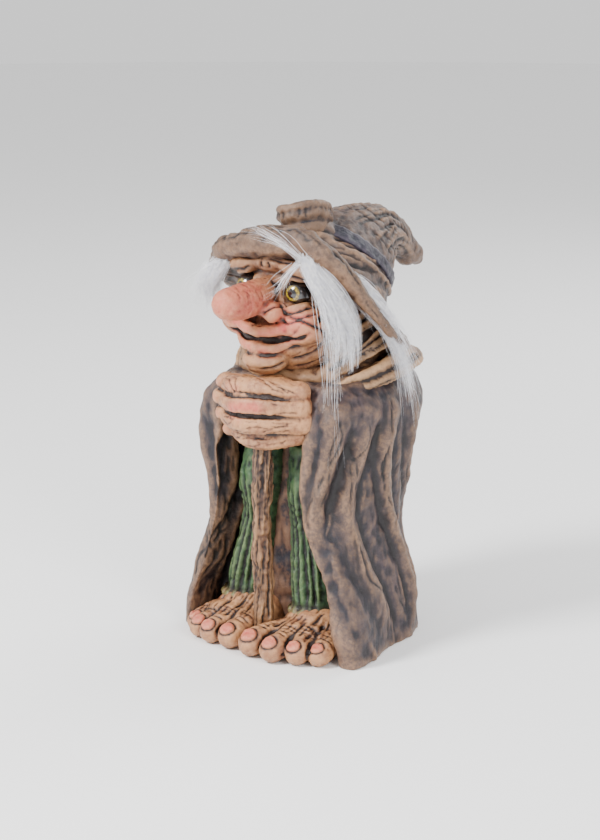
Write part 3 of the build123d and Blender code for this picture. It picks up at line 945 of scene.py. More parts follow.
def make_crown():
    """The pointed crown, with long ridges to its drooping tip and a lip under the band."""
    clay = Clay()
    clay.loft([crown_ring(row) for row in smooth_path(CROWN_SPINE, 5)])
    clay.ball((0, 56.6, 143.4), (5.2, 5.0, 5.0))
    clay.ball((0, 53.0, 141.2), (3.8, 4.0, 3.0))
    clay.ball((0.5, 59.6, 140.8), (3.2, 2.8, 3.2))
    lip = crown_at(BAND_LOW - 0.32, 0.6)
    for place in lip:
        clay.ball(place, 1.5, fine=2)
    clay.ball((0, -9, 158), (12, 12, 9))
    work = Sculpt(clay.skin(cloth_grain()))
    work.smooth(6)
    chance = random.Random(31)
    for k in range(44):
        phi = k / 44 * CROWN_SIDES + chance.uniform(-0.8, 0.8)
        start = chance.uniform(2.9, 4.6)
        end = chance.uniform(5.2, 9.0)
        twist = chance.uniform(-2, 5)
        path = [crown_at(start + (end - start) * t, 0.1)[int(phi + twist * t) % CROWN_SIDES]
                for t in np.linspace(0, 1, 7)]
        ridge = k % 2 == 0
        work.stroke(path, 0.95 if ridge else 0.7, **worn(ridge, 0.75, 0.8, 0.6, 0.6, deep=0.4))
    for _ in range(60):
        phi = chance.randrange(CROWN_SIDES)
        start = chance.uniform(0.4, 2.1)
        path = [crown_at(start + t * 0.5, 0.1)[(phi + int(t * 6)) % CROWN_SIDES]
                for t in (0, 0.5, 1)]
        work.stroke(path, 0.8, **worn(chance.random() < 0.5, 0.5, 0.6, 0.5, 0.6))
    for _ in range(50):
        phi = chance.randrange(CROWN_SIDES)
        start = chance.uniform(3.2, 8.0)
        path = [crown_at(start, 0.1)[(phi + k * 3) % CROWN_SIDES] for k in range(4)]
        work.stroke(path, 0.55, -0.4, wash=0.45)
    # A dent at the curl of the tip, painted dark as the shade in it
    work.dab((5, 41, 162), (1.6, 1.8, 1.6), -1.6, wash=1.0)
    work.rough((3.2, 0.45, 8), (1.2, 0.16, 9))
    work.stroke(list(lip[::6]) + [lip[0]], 1.6, taper=False, glow=0.9)
    material = cloth_paint("hat crown coat", tone("hat"), srgb(58, 46, 46), srgb(34, 25, 32), 0.45)
    work.done("crown_cast", material, "hat_crown")


def make_band():
    """The dark band round the crown."""
    clay = Clay()
    clay.loft([crown_at(BAND_LOW, 0.2), crown_at(BAND_LOW + 0.04, 1.5),
               crown_at(BAND_HIGH - 0.04, 1.7), crown_at(BAND_HIGH, 0.3)])
    work = Sculpt(clay.skin(cloth_grain() * 0.8))
    work.smooth(3)
    work.rough((2.6, 0.35, 10), (1.0, 0.14, 11))
    coats = (tone("band"), srgb(20, 22, 36), srgb(10, 9, 14), srgb(84, 72, 84), srgb(66, 46, 70),
             srgb(14, 14, 22))
    work.done("band_cast", cast_paint("hat band coat", coats, gloss=0.45), "hat_band")


PLEAT_FRAME = (Matrix.Translation((0, -11.5, 168.6))
               @ Matrix.Rotation(math.radians(-14), 4, "Y")
               @ Matrix.Rotation(math.radians(-6), 4, "X"))
BOWL_WIDE, BOWL_LONG = 8.2, 10.4


def make_pleat():
    """The rolled pleat on top, with a dark bowl inside."""
    clay = Clay()
    turn = np.array(PLEAT_FRAME.to_3x3())
    middle = np.array(PLEAT_FRAME.translation)

    def placed(spots):
        return np.asarray(spots, float) @ turn.T + middle

    clay.ball(placed((0, 0, -6)), (8.6, 10.6, 7.5))
    for angle in (2 * math.pi * k / 30 for k in range(30)):
        lift = 0.8 * math.cos(2 * angle) - 1.0 * math.sin(angle)
        side, end = math.cos(angle), math.sin(angle)
        clay.ball(placed((BOWL_WIDE * side, BOWL_LONG * end, lift)), 2.0, fine=2)
        clay.ball(placed((7.6 * side, 9.8 * end, lift - 3.2)), 2.4, fine=2)
    work = Sculpt(clay.skin(cloth_grain() * 0.8))
    work.smooth(4)
    rest = (work.p - middle) @ turn
    bowl = np.exp(-((rest[:, 0] / BOWL_WIDE) ** 6 + (rest[:, 1] / BOWL_LONG) ** 6))
    bowl = bowl * (rest[:, 2] > -6)
    work.paint("deep", bowl * 1.4 * (work.n @ turn[:, 2] > -0.1))
    chance = random.Random(41)
    for angle in (2 * math.pi * k / 26 for k in range(26)):
        out = placed([(s * 8.6 * math.cos(angle), s * 10.8 * math.sin(angle), (0.9 - s) * 15)
                      for s in (0.86, 1.08, 1.2)])
        work.stroke(out, 0.6, chance.choice((-0.4, 0.3)), wash=0.3)
    work.grain(2.6, 0.4, 12)
    work.paint("glow", np.clip(1 - bowl * 3, 0, 1) * 0.35)
    material = cloth_paint("pleat coat", srgb(100, 76, 60), srgb(76, 58, 50), srgb(14, 17, 34), 0.0)
    work.done("pleat_cast", material, "hat_pleat")


# The head

EYES = ((12, -29.3, 140.5), (-12, -29.3, 140.5))
EYE_RADII = (5.3, 5.1, 5.1)
EYE_TURN = 10
PUPIL_RADIUS = 1.75
IRIS_RADIUS = 3.05


# Upper and lower lid of the left eye
LIDS = (
    (((5.8, -33.0, 140.4), (8.6, -34.0, 143.8), (12.5, -33.8, 145.2), (16.4, -31.8, 143.6),
      (18.6, -29.2, 140.4)), 0.9),
    (((5.8, -33.2, 139.8), (8.8, -34.6, 136.9), (12.5, -34.4, 135.5), (16.4, -32.2, 136.8),
      (18.6, -29.4, 139.6)), 1.0),
)
UPPER_LIP = ((0, -39.6, 125.6, 2.4), (8, -37.6, 126.5, 2.4), (15, -33.6, 129, 2.0),
             (20.5, -29.3, 131.5, 1.5))
LOWER_LIP = ((0, -38.8, 118.7, 2.6), (7, -37.4, 119.5, 2.4), (13, -33.8, 122.8, 1.9),
             (18.5, -29.5, 127.4, 1.4))
# Creases of the left half of the face: path, width, depth, and the dark wash in them, which is also
# painted shade
FACE_FOLDS = (
    # The mouth, and the lines beside and below it
    (((0, -37.4, 122.2), (8, -36.6, 122.9), (14, -33.4, 125.4), (19.5, -29.4, 129.4),
      (22.5, -26.4, 132.0)), 0.9, -1.5, 1.0),
    (((10.5, -37.5, 134.0), (15.5, -36.6, 132.2), (20.5, -33.0, 129.6), (23.4, -28.0, 126.2),
      (22, -25, 120)), 0.9, -1.0, 0.7),
    (((9.5, -38.2, 131.6), (14.0, -37.2, 129.8), (19.0, -33.6, 131.6), (22.8, -29.0, 133.6)),
     0.7, -0.7, 0.5),
    (((0, -39.6, 115.9), (8, -37.4, 116.8), (14, -32.8, 119.6), (19.5, -27.5, 124.0)),
     0.8, -0.9, 0.7),
    (((0, -42.6, 111.6), (8, -38.5, 112.4), (14, -31.5, 114.6), (19.5, -25.0, 119.0),
      (22, -21, 124)), 0.8, -0.8, 0.6),
    (((10, -31.0, 109.6), (16, -25, 112), (20, -19, 116)), 0.8, -0.7, 0.6),
    # Bags and crow's feet round the eye
    (((6.2, -35.4, 135.4), (11.5, -36.4, 133.6), (17.0, -34.2, 134.4), (20.8, -30.0, 137.4)),
     0.7, -0.8, 0.7),
    (((19.4, -29.0, 141.0), (22.4, -24.5, 142.6), (23.8, -20.0, 143.4)), 0.7, -0.7, 0.7),
    (((19.4, -29.4, 139.4), (22.8, -25.5, 138.4), (24.4, -20.5, 137.0)), 0.7, -0.7, 0.7),
    (((19.0, -30.0, 136.6), (22.6, -27.0, 134.0), (24.2, -22.0, 131.0)), 0.6, -0.5, 0.5),
    (((4.6, -35.0, 147.4), (5.6, -33.6, 143.6), (5.4, -34.2, 139.0)), 1.0, -0.9, 0.9),
    # Brow and forehead
    (((5.5, -36.4, 147.0), (10, -36.2, 146.2), (15.5, -34.0, 146.8), (20, -29.0, 145.0)),
     0.9, -0.8, 0.8),
    (((0, -37.4, 152.6), (8, -36.6, 153.8), (15, -32.4, 153.6), (20, -26, 151)), 0.8, -0.7, 0.6),
    (((0, -37.2, 156.6), (8, -35.6, 157.2), (15, -31.4, 157.0)), 0.8, -0.6, 0.6),
    (((1.6, -36.4, 152.0), (2.0, -36.0, 148.6), (1.8, -36.2, 145.8)), 0.7, -0.8, 0.7),
    # Round the nostril, under the nose and along the jaw
    (((5.6, -43.8, 132.6), (8.6, -41.6, 135.2), (10.6, -37.6, 137.2), (10.2, -34.8, 137.0)),
     0.8, -0.9, 0.6),
    (((2.0, -40.4, 130.4), (1.8, -40.6, 128.2)), 0.8, -0.5, 0.4),
    (((22.4, -26.0, 128.0), (23.6, -22.0, 122.0), (20.5, -20.0, 116.0)), 0.9, -0.7, 0.5),
)
# Where the lips are pink, and the line between them
LIP_LINES = (
    (((0, -40, 125.6), (8, -38, 126.5), (15, -34, 129), (20, -29.6, 131.2)), 2.0),
    (((0, -39.4, 118.8), (7, -38, 119.6), (13, -34.2, 122.8), (18, -29.8, 127)), 2.2),
)
GRIN = ((0, -37.6, 122.2), (8, -36.8, 122.9), (14, -33.6, 125.4), (19.5, -29.6, 129.4),
        (22.5, -26.4, 132))
NOSE_HEIGHT = 138.4
NOSE_RADIUS = 7.0


def head_clay():
    """Skull, cheeks, chin, long nose, lips, brows and eye sockets."""
    clay = Clay()
    clay.ball((0, -12, 134), (23.5, 23, 24))
    clay.ball((0, -18, 121), (20, 19, 15))
    clay.ball((0, -14, 109), (15, 14, 8))
    clay.pair((14.5, -28.5, 128.5), (10.8, 9.6, 8.6))
    clay.ball((0, -29, 121), (14, 9, 8))
    clay.ball((0, -34.8, 113.6), (9.2, 8, 5.4))
    clay.rope([(0, -31, 141.2, 4.8), (0, -38, 139.6, 6.2), (0, -46, 138.2, 7.1),
               (0, -53, 138.0, 6.7), (0, -57.2, 138.2, 6.0)])
    clay.pair((6.8, -38.6, 133.6), (4.6, 5.2, 4.1))
    clay.rope(UPPER_LIP, both=True)
    clay.rope(LOWER_LIP, both=True)
    clay.pair((11.8, -29.5, 149.6), (9.6, 6.4, 3.9), (0, 12, 0))
    clay.ball((0, -19, 151.5), (18, 16.5, 7))
    sockets = Clay()
    sockets.pair((12, -35.0, 140.4), (6.4, 6.4, 5.3))
    return clay.skin(skin_grain(), [sockets])


def fine_lines(work):
    """Small wrinkles of the cheeks, and rings round the nose."""
    chance = random.Random(51)
    for _ in range(60):
        angle = chance.uniform(0.5, 2.2)
        lift = chance.uniform(108, 134)
        out = Vector((25 * math.sin(angle), -12 - 26 * math.cos(angle), lift))
        lean = chance.uniform(1.5, 5.0)
        path = [out, out + Vector((1, 0.5, 0.6)) * lean, out + Vector((2, 1.4, 1.6)) * lean]
        if chance.random() < 0.5:
            path = [Vector((-v.x, v.y, v.z)) for v in path]
        work.stroke([tuple(v) for v in path], chance.uniform(0.35, 0.55), -0.22, wash=0.25)
    for _ in range(34):
        along = chance.uniform(-56, -36)
        turn = chance.uniform(-1.2, 1.2)
        path = [(NOSE_RADIUS * math.sin(turn + step * 0.22), along + chance.uniform(-0.6, 0.6),
                 NOSE_HEIGHT + NOSE_RADIUS * math.cos(turn + step * 0.22)) for step in range(4)]
        work.stroke(path, 0.42, -0.14, wash=0.12)


def blush_and_shade(work):
    """Pink nose, cheeks and lips and a dark grin, with painted shade on the temples, the sides of
    the face, the forehead under the brim, under the chin and on one side of the nose tip, and dark
    eye sockets, partly their paint and partly painted shade.
    """
    work.dab((0, -52, 139), (10, 17, 9), tint=1.0)
    work.two_dabs((7.5, -38.5, 134), (5, 5, 4.2), tint=0.6)
    work.two_dabs((16.5, -33.5, 130.5), (9, 8, 6.5), tint=0.75)
    # Painted shade on the sides of the face and on the temples, by the hair
    work.two_dabs((21, -26, 124), (7, 8, 9), deep=0.45)
    work.two_dabs((22, -26, 138), (6, 8, 9), deep=0.5)
    # Painted shadow of the brim on the forehead, and painted shade under the chin
    work.dab((0, -34, 150), (22, 12, 7), deep=0.55)
    work.dab((0, -38, 112), (16, 10, 4), deep=0.3)
    for path, width in LIP_LINES:
        work.both(path, width, tint=0.7)
    work.both(GRIN, 1.2, -0.5, wash=0.9)
    work.feel()
    # Eye sockets and their inner corners painted dark: the figure's paint, and painted shade in the
    # sockets
    work.two_dabs((12, -32, 140.4), (7.2, 6, 6.6), wash=0.75, tint=-0.4)
    work.two_dabs((6.0, -34, 144), (2.6, 3, 4.0), wash=0.45)
    # Painted shade on the +x side of the nose tip, with a little pink
    work.dab((5.4, -54, 137), (3.4, 4.0, 3.2), tint=0.3, deep=0.35)
    # Painted shadow of the brim along the top of the forehead
    work.dab((0, -33, 158), (24, 14, 5), wash=0.5)


def make_head():
    """The wrinkled head with its long nose and wide grin."""
    work = Sculpt(head_clay())
    work.smooth(6)
    for path, depth in LIDS:
        work.both(path, 1.2, depth)
    work.feel()
    for path, width, depth, wash in FACE_FOLDS:
        work.both(path, width, depth, wash=wash)
    fine_lines(work)
    work.feel()
    work.two_dabs((5.2, -41.4, 131.2), (1.7, 1.9, 1.3), -1.5, wash=1.0)
    work.rough((2.6, 0.26, 13), (0.9, 0.09, 14))
    blush_and_shade(work)
    tuck_under_hat(work, 1.8)
    work.done("head_cast", skin_paint("skin of the head"), "head")


def eye_paint():
    """Black glass with a mottled gold iris."""
    paint = Paint("glass eye")
    mottle = paint.ramp(paint.clouds(0.7, 3.0, 0.7), 0.35, 0.65)
    gold = paint.mix(mottle, srgb(70, 54, 8), srgb(176, 150, 44))
    colour = paint.mix(paint.layer("iris"), (0.006, 0.005, 0.005), gold)
    paint.surface(colour, 0.12, Coat_Weight=1.0, Coat_Roughness=0.03, Specular_IOR_Level=0.6)
    return paint.material


def make_eyes():
    """Two glass eyes that look a little outwards."""
    material = eye_paint()
    for centre, name, out_turn in zip(EYES, ("left_eye", "right_eye"), (EYE_TURN, -EYE_TURN)):
        clay = Clay()
        clay.ball(centre, EYE_RADII, fine=6)
        ball = clay.to_object()
        work = Sculpt(ball.data)
        bpy.data.objects.remove(ball)
        turn = math.radians(out_turn)
        axis = np.array((math.sin(turn), -math.cos(turn), 0.02))
        axis /= np.linalg.norm(axis)
        away = work.p - np.array(centre)
        ahead = away @ axis
        out = np.linalg.norm(away - np.outer(ahead, axis), axis=1)
        iris = np.clip((out - PUPIL_RADIUS) / 0.3, 0, 1) * np.clip((IRIS_RADIUS - out) / 0.35, 0, 1)
        work.layer = {"iris": iris * (ahead > 0)}
        work.done(name + "_glass", material, name + "_cup", name + "_ring", name + "_dome")


# The hands

# Each finger from its tip to the knuckle: place and radius
FINGERS = (
    ((-13, -41, 103.6, 3.4), (-4, -46.0, 104.8, 4.3), (8, -46.0, 105.4, 4.5), (19, -37, 104, 4.6)),
    ((-12.5, -43, 97.6, 3.4), (-2, -48.6, 98.8, 4.5), (8, -48.4, 99.8, 4.8), (20, -38, 98.6, 5)),
    ((-12, -42.5, 91.2, 3.4), (-2, -47.4, 91.8, 4.6), (8, -46.6, 92.6, 5.0), (20, -36, 93, 5.4)),
    ((-9, -40.4, 85.6, 3.2), (0, -43.4, 84.8, 4.0), (9, -41.8, 85.4, 4.4), (18, -33, 88, 5)),
)
FINGER_GAPS = (
    ((-13, -43.5, 100.6), (-2, -51, 101.9), (8, -50.6, 102.8), (20, -41, 101.4)),
    ((-13, -43.8, 94.4), (-2, -51, 95.2), (8, -50.6, 96.2), (20, -41, 95.8)),
    ((-11, -42.8, 88.2), (-1, -48.2, 88.2), (8.5, -47.0, 89.0), (19, -38, 90.4)),
)
# Pink along the fingers: path, width, strength
FINGER_BLUSH = (
    (((-6, -48, 98.6), (0, -51, 98.8), (7, -51.2, 99.6), (12, -48.5, 99.6)), 2.4, 0.9),
    (((-8, -47, 104.6), (2, -50.4, 105.2)), 2.0, 0.3),
    (((-6, -46.8, 91.6), (4, -50.0, 92.2)), 2.0, 0.25),
)
FAR_TIPS = ((-15.8, -40.5, 104.2, 3.3), (-17.0, -41.0, 98.2, 3.5), (-16.0, -40.6, 91.8, 3.4),
            (-13.4, -39.6, 86.0, 3.2))


def finger_front(x, z):
    """How far forward the folded fingers stand."""
    return -41 - 8 * math.cos((x - 3) / 14) * math.cos((z - 95) / 14)


def make_left_hand():
    """The near hand, whose four fingers fold over the far one."""
    clay = Clay()
    clay.ball((4.5, -34.5, 95), (15.5, 11, 13.5))
    clay.ball((20, -26, 94), (8, 9, 9))
    clay.ball((24, -22, 96), (7, 8, 9))
    for finger in FINGERS:
        clay.rope(finger)
    work = Sculpt(clay.skin(skin_grain()))
    work.smooth(5)
    # Grooves between the fingers, painted dark: the wash, and painted shade between the fingers
    for path in FINGER_GAPS:
        work.stroke(path, 0.9, -0.9, wash=0.95)
    chance = random.Random(61)
    for _ in range(90):
        z = chance.uniform(82, 108)
        start = chance.uniform(-12, 14)
        size = chance.uniform(4, 12)
        end = start + size
        near, far = finger_front(start, z), finger_front(end, z)
        path = [(start, near, z),
                ((start + end) / 2, (near + far) / 2 - 0.5, z + chance.uniform(-0.5, 0.5)),
                (end, far, z + (95 - z) * size / 60)]
        work.stroke(path, chance.uniform(0.35, 0.55), -0.25, wash=0.3)
    for z in (99 - fold * 3.2 for fold in range(5)):
        work.stroke([(19.5, -36, z), (22.5, -31.5, z - 1), (25, -27, z - 2)], 0.7, -0.6, wash=0.6)
    work.rough((2.2, 0.25, 15), (0.9, 0.09, 16))
    for path, width, strength in FINGER_BLUSH:
        work.stroke(path, width, tint=strength)
    work.done("left_hand_cast", skin_paint("skin of the hands"), "left_hand")


def make_right_hand():
    """The far hand, of which only the fingertips show."""
    clay = Clay()
    clay.ball((-9, -35, 95), (9, 9, 12))
    clay.ball((-19, -26, 94), (6.5, 8, 8))
    for x, y, z, r in FAR_TIPS:
        clay.rope([(x + 6, y + 3, z, r), (x + 1, y - 0.4, z, r * 1.05), (x - 1.4, y + 2.6, z, r)])
    work = Sculpt(clay.skin(skin_grain()))
    work.smooth(5)
    # Grooves between the fingertips, painted dark: the wash, and painted shade between them
    for low, high in zip(FAR_TIPS[1:], FAR_TIPS):
        z = (low[2] + high[2]) / 2
        work.stroke([(-11, -43.5, z), (-16, -43.2, z), (-20, -38.5, z)], 0.8, -0.6, wash=0.9)
    for x, y, z, r in FAR_TIPS:
        work.dab((x - 1, y - r, z), (2.4, 1.6, 1.8), 0.15, tint=0.45)
    work.rough((2.2, 0.25, 17))
    work.done("right_hand_cast", skin_paint("skin of the far hand"), "right_hand")


# The walking stick

STICK_LENGTH = 94.0
STICK_RADIUS = 3.75
STICK_FRONT = -36.5
STICK_KNOTS = (22, 41, 58, 70)


def on_stick(angle, height):
    """A place on the stick's bark, by angle from the front."""
    return (3.9 * math.sin(angle), STICK_FRONT - 3.9 * math.cos(angle), height)


def make_stick():
    """The knotty stick, barked from top to bottom."""
    clay = Clay()
    turns = round_turns(28)
    rings = []
    for z in np.linspace(0, STICK_LENGTH, 48):
        knot = 1 + 0.06 * math.sin(z * 0.21) + 0.05 * math.sin(z * 0.53 + 1)
        knot += 0.03 * math.sin(z * 1.1)
        r = STICK_RADIUS * knot * (1 + 0.05 * np.cos(turns * 5 + z * 0.02))
        rings.append(oval(turns, r, r, (0.35 * math.sin(z * 0.09), STICK_FRONT), z))
    clay.loft(rings)
    work = Sculpt(clay.skin(skin_grain()))
    work.smooth(3)
    chance = random.Random(71)
    for _ in range(130):
        a = chance.uniform(0, 2 * math.pi)
        z = chance.uniform(3, 80)
        size = chance.uniform(6, 20)
        path = [on_stick(a + k * 0.06, z + size * k / 3) for k in range(4)]
        ridge = chance.random() < 0.4
        work.stroke(path, chance.uniform(0.35, 0.7), **worn(ridge, 0.4, 0.5, 0.4, 0.6))
    for z in STICK_KNOTS:
        work.dab(on_stick(chance.uniform(-1.0, 1.0), z), (1.5, 1.5, 2.4), -0.8, wash=0.9)
    work.rough((1.6, 0.3, 18))
    # The deep coat darkens the stick upwards from 48 mm and on its -x side
    high = np.clip((work.p[:, 2] - 48) / 22, 0, 1)
    minus_x_side = np.clip(-work.p[:, 0] / 2.0 - 0.2, 0, 1) * 0.8
    work.paint("deep", np.maximum(high * 0.85, minus_x_side * 0.7))
    work.stand()
    coats = (srgb(120, 84, 56), srgb(88, 56, 38), srgb(26, 14, 11), srgb(176, 134, 92),
             srgb(92, 56, 38), srgb(40, 26, 33))
    material = cast_paint("stick wood", coats, gloss=0.5, streak=(2.2, 2.2, 0.4))
    work.done("stick_cast", material, "walking_stick")


# The trousers

# Share of the height, side, half width, half depth
LEFT_LEG = ((0.00, 14.5, 10.6, 10.6), (0.25, 13.0, 8.8, 9.2), (0.52, 10.5, 7.2, 7.4),
            (0.75, 11.0, 8.8, 9.8), (1.00, 10.5, 8.2, 8.2))
RIGHT_LEG = ((0.00, -20.5, 10.6, 10.6), (0.25, -18.0, 8.8, 9.2), (0.52, -14.5, 7.2, 7.2),
             (0.75, -13.5, 9.0, 9.8), (1.00, -11.5, 8.2, 8.2))
LEG_FOOT = 11
LEG_LENGTH = 69
LEG_FRONT = -20
HEM_HEIGHT = 13.5


def make_leg(name, rows, seed, node):
    """One trouser leg: corduroy down its front, folds at the knee and a rolled hem."""
    clay = Clay()
    smooth_rows = smooth_path(rows, 6)
    clay.loft([oval(round_turns(48), row[2], row[3], (row[1], LEG_FRONT),
                    LEG_FOOT + LEG_LENGTH * row[0]) for row in smooth_rows])
    _, side, wide, deep = smooth_rows[0]
    for place in oval(round_turns(20), wide, deep, (side, LEG_FRONT), HEM_HEIGHT):
        clay.ball(place, 1.9, fine=2)
    work = Sculpt(clay.skin(cloth_grain() * 0.85))
    work.smooth(4)
    middle = rows[0][1]
    chance = random.Random(seed)
    shift = 2 if middle > 0 else -2
    for k in range(9):
        x = middle - 8 + k * 2.1
        path = [(x * 0.62 + shift, -28.5, 66), (x * 0.70, -27.5, 50), (x * 0.88, -28.8, 32),
                (x, -30.2, 15)]
        work.stroke(path, 1.0, **worn(k % 2 == 0, 0.9, 1.0, 0.5, 0.7))
    for _ in range(34):
        z = chance.uniform(16, 76)
        x = middle * (1.0 - (z - 12) / 140) + chance.uniform(-7, 7)
        path = [(x, -29, z), (x + chance.uniform(-2, 2), -29, z - chance.uniform(3, 9))]
        work.stroke(path, 0.7, chance.choice((-0.5, 0.4)), wash=0.35)
    for z in (46 + k * 3.0 for k in range(4)):
        work.stroke([(middle * 0.78 - 6, -26.5, z + 2), (middle * 0.76, -27.6, z),
                     (middle * 0.78 + 6, -26.5, z + 1.5)], 0.8, -0.6, wash=0.6)
    work.rough((2.8, 0.4, seed), (1.1, 0.14, seed + 1))
    z = work.p[:, 2]
    work.paint("tint", np.exp(-((z - HEM_HEIGHT) / 2.2) ** 2))
    # A dark band just above the rolled hem: painted shade in the crease over the roll
    work.paint("wash", np.exp(-((z - 17.0) / 1.1) ** 2) * 0.8)
    coats = (tone("trousers"), srgb(30, 54, 36), srgb(12, 13, 9), srgb(112, 134, 84),
             srgb(138, 98, 66), srgb(20, 32, 24))
    work.done(name, cast_paint(name + " coat", coats, gloss=0.45, patches=0.3), node)


# The feet

# Side, how far forward, radius
LEFT_TOES = ((5.6, 47.0, 5.7), (16.2, 47.5, 5.4), (25.2, 44.0, 5.1), (32.6, 39.0, 4.8))
RIGHT_TOES = ((-6.6, 46.0, 5.4), (-16.4, 46.5, 5.1), (-24.2, 43.5, 4.8), (-30.4, 39.0, 4.4))


def paint_nail(work, x, forward, r):
    """A flat pink nail with a dark line round it."""
    nail = np.array((x, -forward - r * 0.62 - 1.4, r * 1.62))
    work.dab(nail, (r * 0.62, r * 0.55, r * 0.42), -0.25)
    work.feel()
    away = (work.p - nail) / np.array((r * 0.62, r * 0.62, r * 0.50))
    d = np.sqrt((away**2).sum(1))
    plate = np.clip((1.0 - d) / 0.25, 0, 1)
    line = np.exp(-((d - 1.08) / 0.17) ** 2)
    work.p += work.n * (plate * 0.45 - line * 0.35)[:, None]
    work.paint("tint", plate)
    work.paint("wash", line * 0.95 - plate * 0.3)


def make_foot(name, middle, toes, seed, node):
    """One bare foot with its four toes."""
    clay = Clay()
    clay.ball((middle, -24, 6), (15, 14, 11))
    clay.ball((middle * 1.02, -34, 4.5), (17, 12, 8.5))
    for x, forward, r in toes:
        back = middle + (x - middle) * 0.82
        clay.rope([(back, 15 - forward, 6.0, r * 0.9), ((back + x) / 2, 6 - forward, 6.4, r * 0.92),
                   (x, -1.0 - forward, r * 0.98, r), (x, -3.4 - forward, r * 0.9, r * 0.9)])
    work = Sculpt(clay.skin(skin_grain()))
    work.smooth(5)
    # Grooves between the toes, painted dark: the wash, and painted shade between the toes
    for (xa, fa, _), (xb, fb, _) in zip(toes, toes[1:]):
        x = (xa + xb) / 2
        f = (fa + fb) / 2
        back = middle + (x - middle) * 0.8
        work.stroke([(x, -f - 4, 3), (x, -f - 1, 7), ((x + back) / 2, 6 - f, 11.5),
                     (back, 12 - f, 13)], 0.95, -1.1, wash=1.0)
    chance = random.Random(seed)
    for x, forward, r in toes:
        paint_nail(work, x, forward, r)
        for _ in range(5):
            z = chance.uniform(r * 1.4, r * 2)
            y = -forward + chance.uniform(1, 9)
            work.stroke([(x - r * 0.7, y, z), (x, y - 0.4, r * 2.0 + 0.5), (x + r * 0.7, y, z)],
                        0.55, -0.4, wash=0.5)
    for _ in range(40):
        x = middle + chance.uniform(-15, 15)
        y = -chance.uniform(24, 40)
        path = [(x, y, 15), (x + chance.uniform(-1, 1), y - chance.uniform(3, 8), 12)]
        work.stroke(path, 0.6, -0.4, wash=0.4)
    work.rough((2.2, 0.26, seed), (0.9, 0.09, seed + 1))
    work.stand()
    # Painted shade along the ground, darkest where the foot meets the floor
    work.paint("wash", np.exp(-(work.p[:, 2] / 1.6) ** 2) * 0.6)
    work.done(name, skin_paint(name + " skin"), node)


# The fur


HAIR_POINTS = 9
LOCKS = 60
FULL_TURN = 6.28


def fur_paint():
    """White hair, a little grey in places."""
    paint = Paint("white fur")
    mottle = paint.ramp(paint.clouds(1.6, 3.0, 0.6), 0.35, 0.7)
    paint.surface(paint.mix(mottle, srgb(214, 214, 222), srgb(250, 249, 248)), 0.55,
                  Specular_IOR_Level=0.35)
    return paint.material


def hair_runs(spine, hairs, seed, strays):
    """Each hair's way, place in the tuft, start, end, two leans and thickness."""
    chance = random.Random(seed)
    noise.seed_set(seed)
    path = smooth_path(spine, 8)

    def shake(size):
        return Vector((chance.gauss(0, size), chance.gauss(0, size), chance.gauss(0, size)))

    locks = [(chance.uniform(0, FULL_TURN), math.sqrt(chance.random()), chance.uniform(0.22, 1.0),
              chance.uniform(0.0, 0.25), shake(1.0)) for _ in range(LOCKS)]
    runs = []
    for i in range(hairs):
        around, out, length, start, lean = locks[i % LOCKS]
        start = max(0, start + chance.gauss(0, 0.04))
        end = min(start + length * chance.uniform(0.6, 1.1), 1.0)
        runs.append((path, around, out, start, end, lean, shake(1.0), 1.0))
    for stray, count in strays:
        way = smooth_path(stray, 8)
        for _ in range(count):
            runs.append((way, chance.uniform(0, FULL_TURN), chance.random(), chance.uniform(0, 0.1),
                         chance.uniform(0.6, 1.0), shake(1.0), shake(0.6), 0.85))
    return runs


def hair_place(run, t):
    """Where a hair is, from its root at 0 to its tip at 1."""
    way, around, out, start, end, lean, stir, _ = run
    last = len(way) - 1
    at = (start + (end - start) * t) * last
    low = min(int(at), last - 1)
    x, y, z, spread = way[low] + (way[low + 1] - way[low]) * (at - low)
    turn = around + t * 0.4
    gather = (0.5 + 0.5 * math.sin(math.pi * min(t * 1.2, 1.0))) * spread * out
    side = Vector((math.cos(turn), math.sin(turn) * 0.8, 0.25 * math.sin(turn * 2))) * gather
    wave = noise.noise_vector(Vector((around * 2, out * 3, t * 1.8))) * (2.0 * t)
    return (Vector((x, y, z)) + side + wave + lean * (0.3 + 2.0 * t * t)
            + stir * (1.05 - 0.75 * t))


def make_tuft(name, spine, hairs, seed, node, material, strays):
    """A tuft of hairs along a spine of (x, y, z, spread)."""
    curve = bpy.data.curves.new(name, "CURVE")
    curve.dimensions = "3D"
    curve.bevel_depth = sizes().hair_radius
    curve.bevel_resolution = 0
    curve.fill_mode = "FULL"
    for run in hair_runs(spine, hairs, seed, strays):
        spline = curve.splines.new("POLY")
        spline.points.add(HAIR_POINTS - 1)
        for k, point in enumerate(spline.points):
            t = k / (HAIR_POINTS - 1)
            point.co = (*(hair_place(run, t) * MM), 1)
            point.radius = run[-1] * (1 - 0.85 * t**1.3)
    holder = in_scene(name, curve)
    bpy.context.view_layer.update()
    mesh = bpy.data.meshes.new_from_object(holder)
    bpy.data.objects.remove(holder)
    bpy.data.curves.remove(curve)
    mesh.name = name
    mesh.materials.clear()
    mesh.materials.append(material)
    piece = in_scene(name, mesh)
    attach(piece, "root")
    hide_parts(node)


# Each tuft's spine: place and spread
LEFT_TUFT = ((20, -35, 155.5, 2.0), (23, -35.5, 151, 3.2), (27, -34, 145, 4.6),
             (30.5, -31, 137, 5.2), (32.5, -27, 129, 4.6), (33, -25, 121, 3.0), (33, -25, 114, 1.6))
LEFT_LOCK = ((29, -24, 150, 2.6), (33, -20, 143, 4.2), (37, -13, 134, 4.2), (39.5, -6, 124, 3.2),
             (41, 0, 113, 2.0), (42, 3, 102, 1.2))
RIGHT_TUFT = ((-21, -33, 150, 3.0), (-26, -33, 145.5, 4.4), (-31, -31, 140.5, 5.0),
              (-34.5, -28, 136.5, 4.6), (-36.5, -25, 131, 3.0))
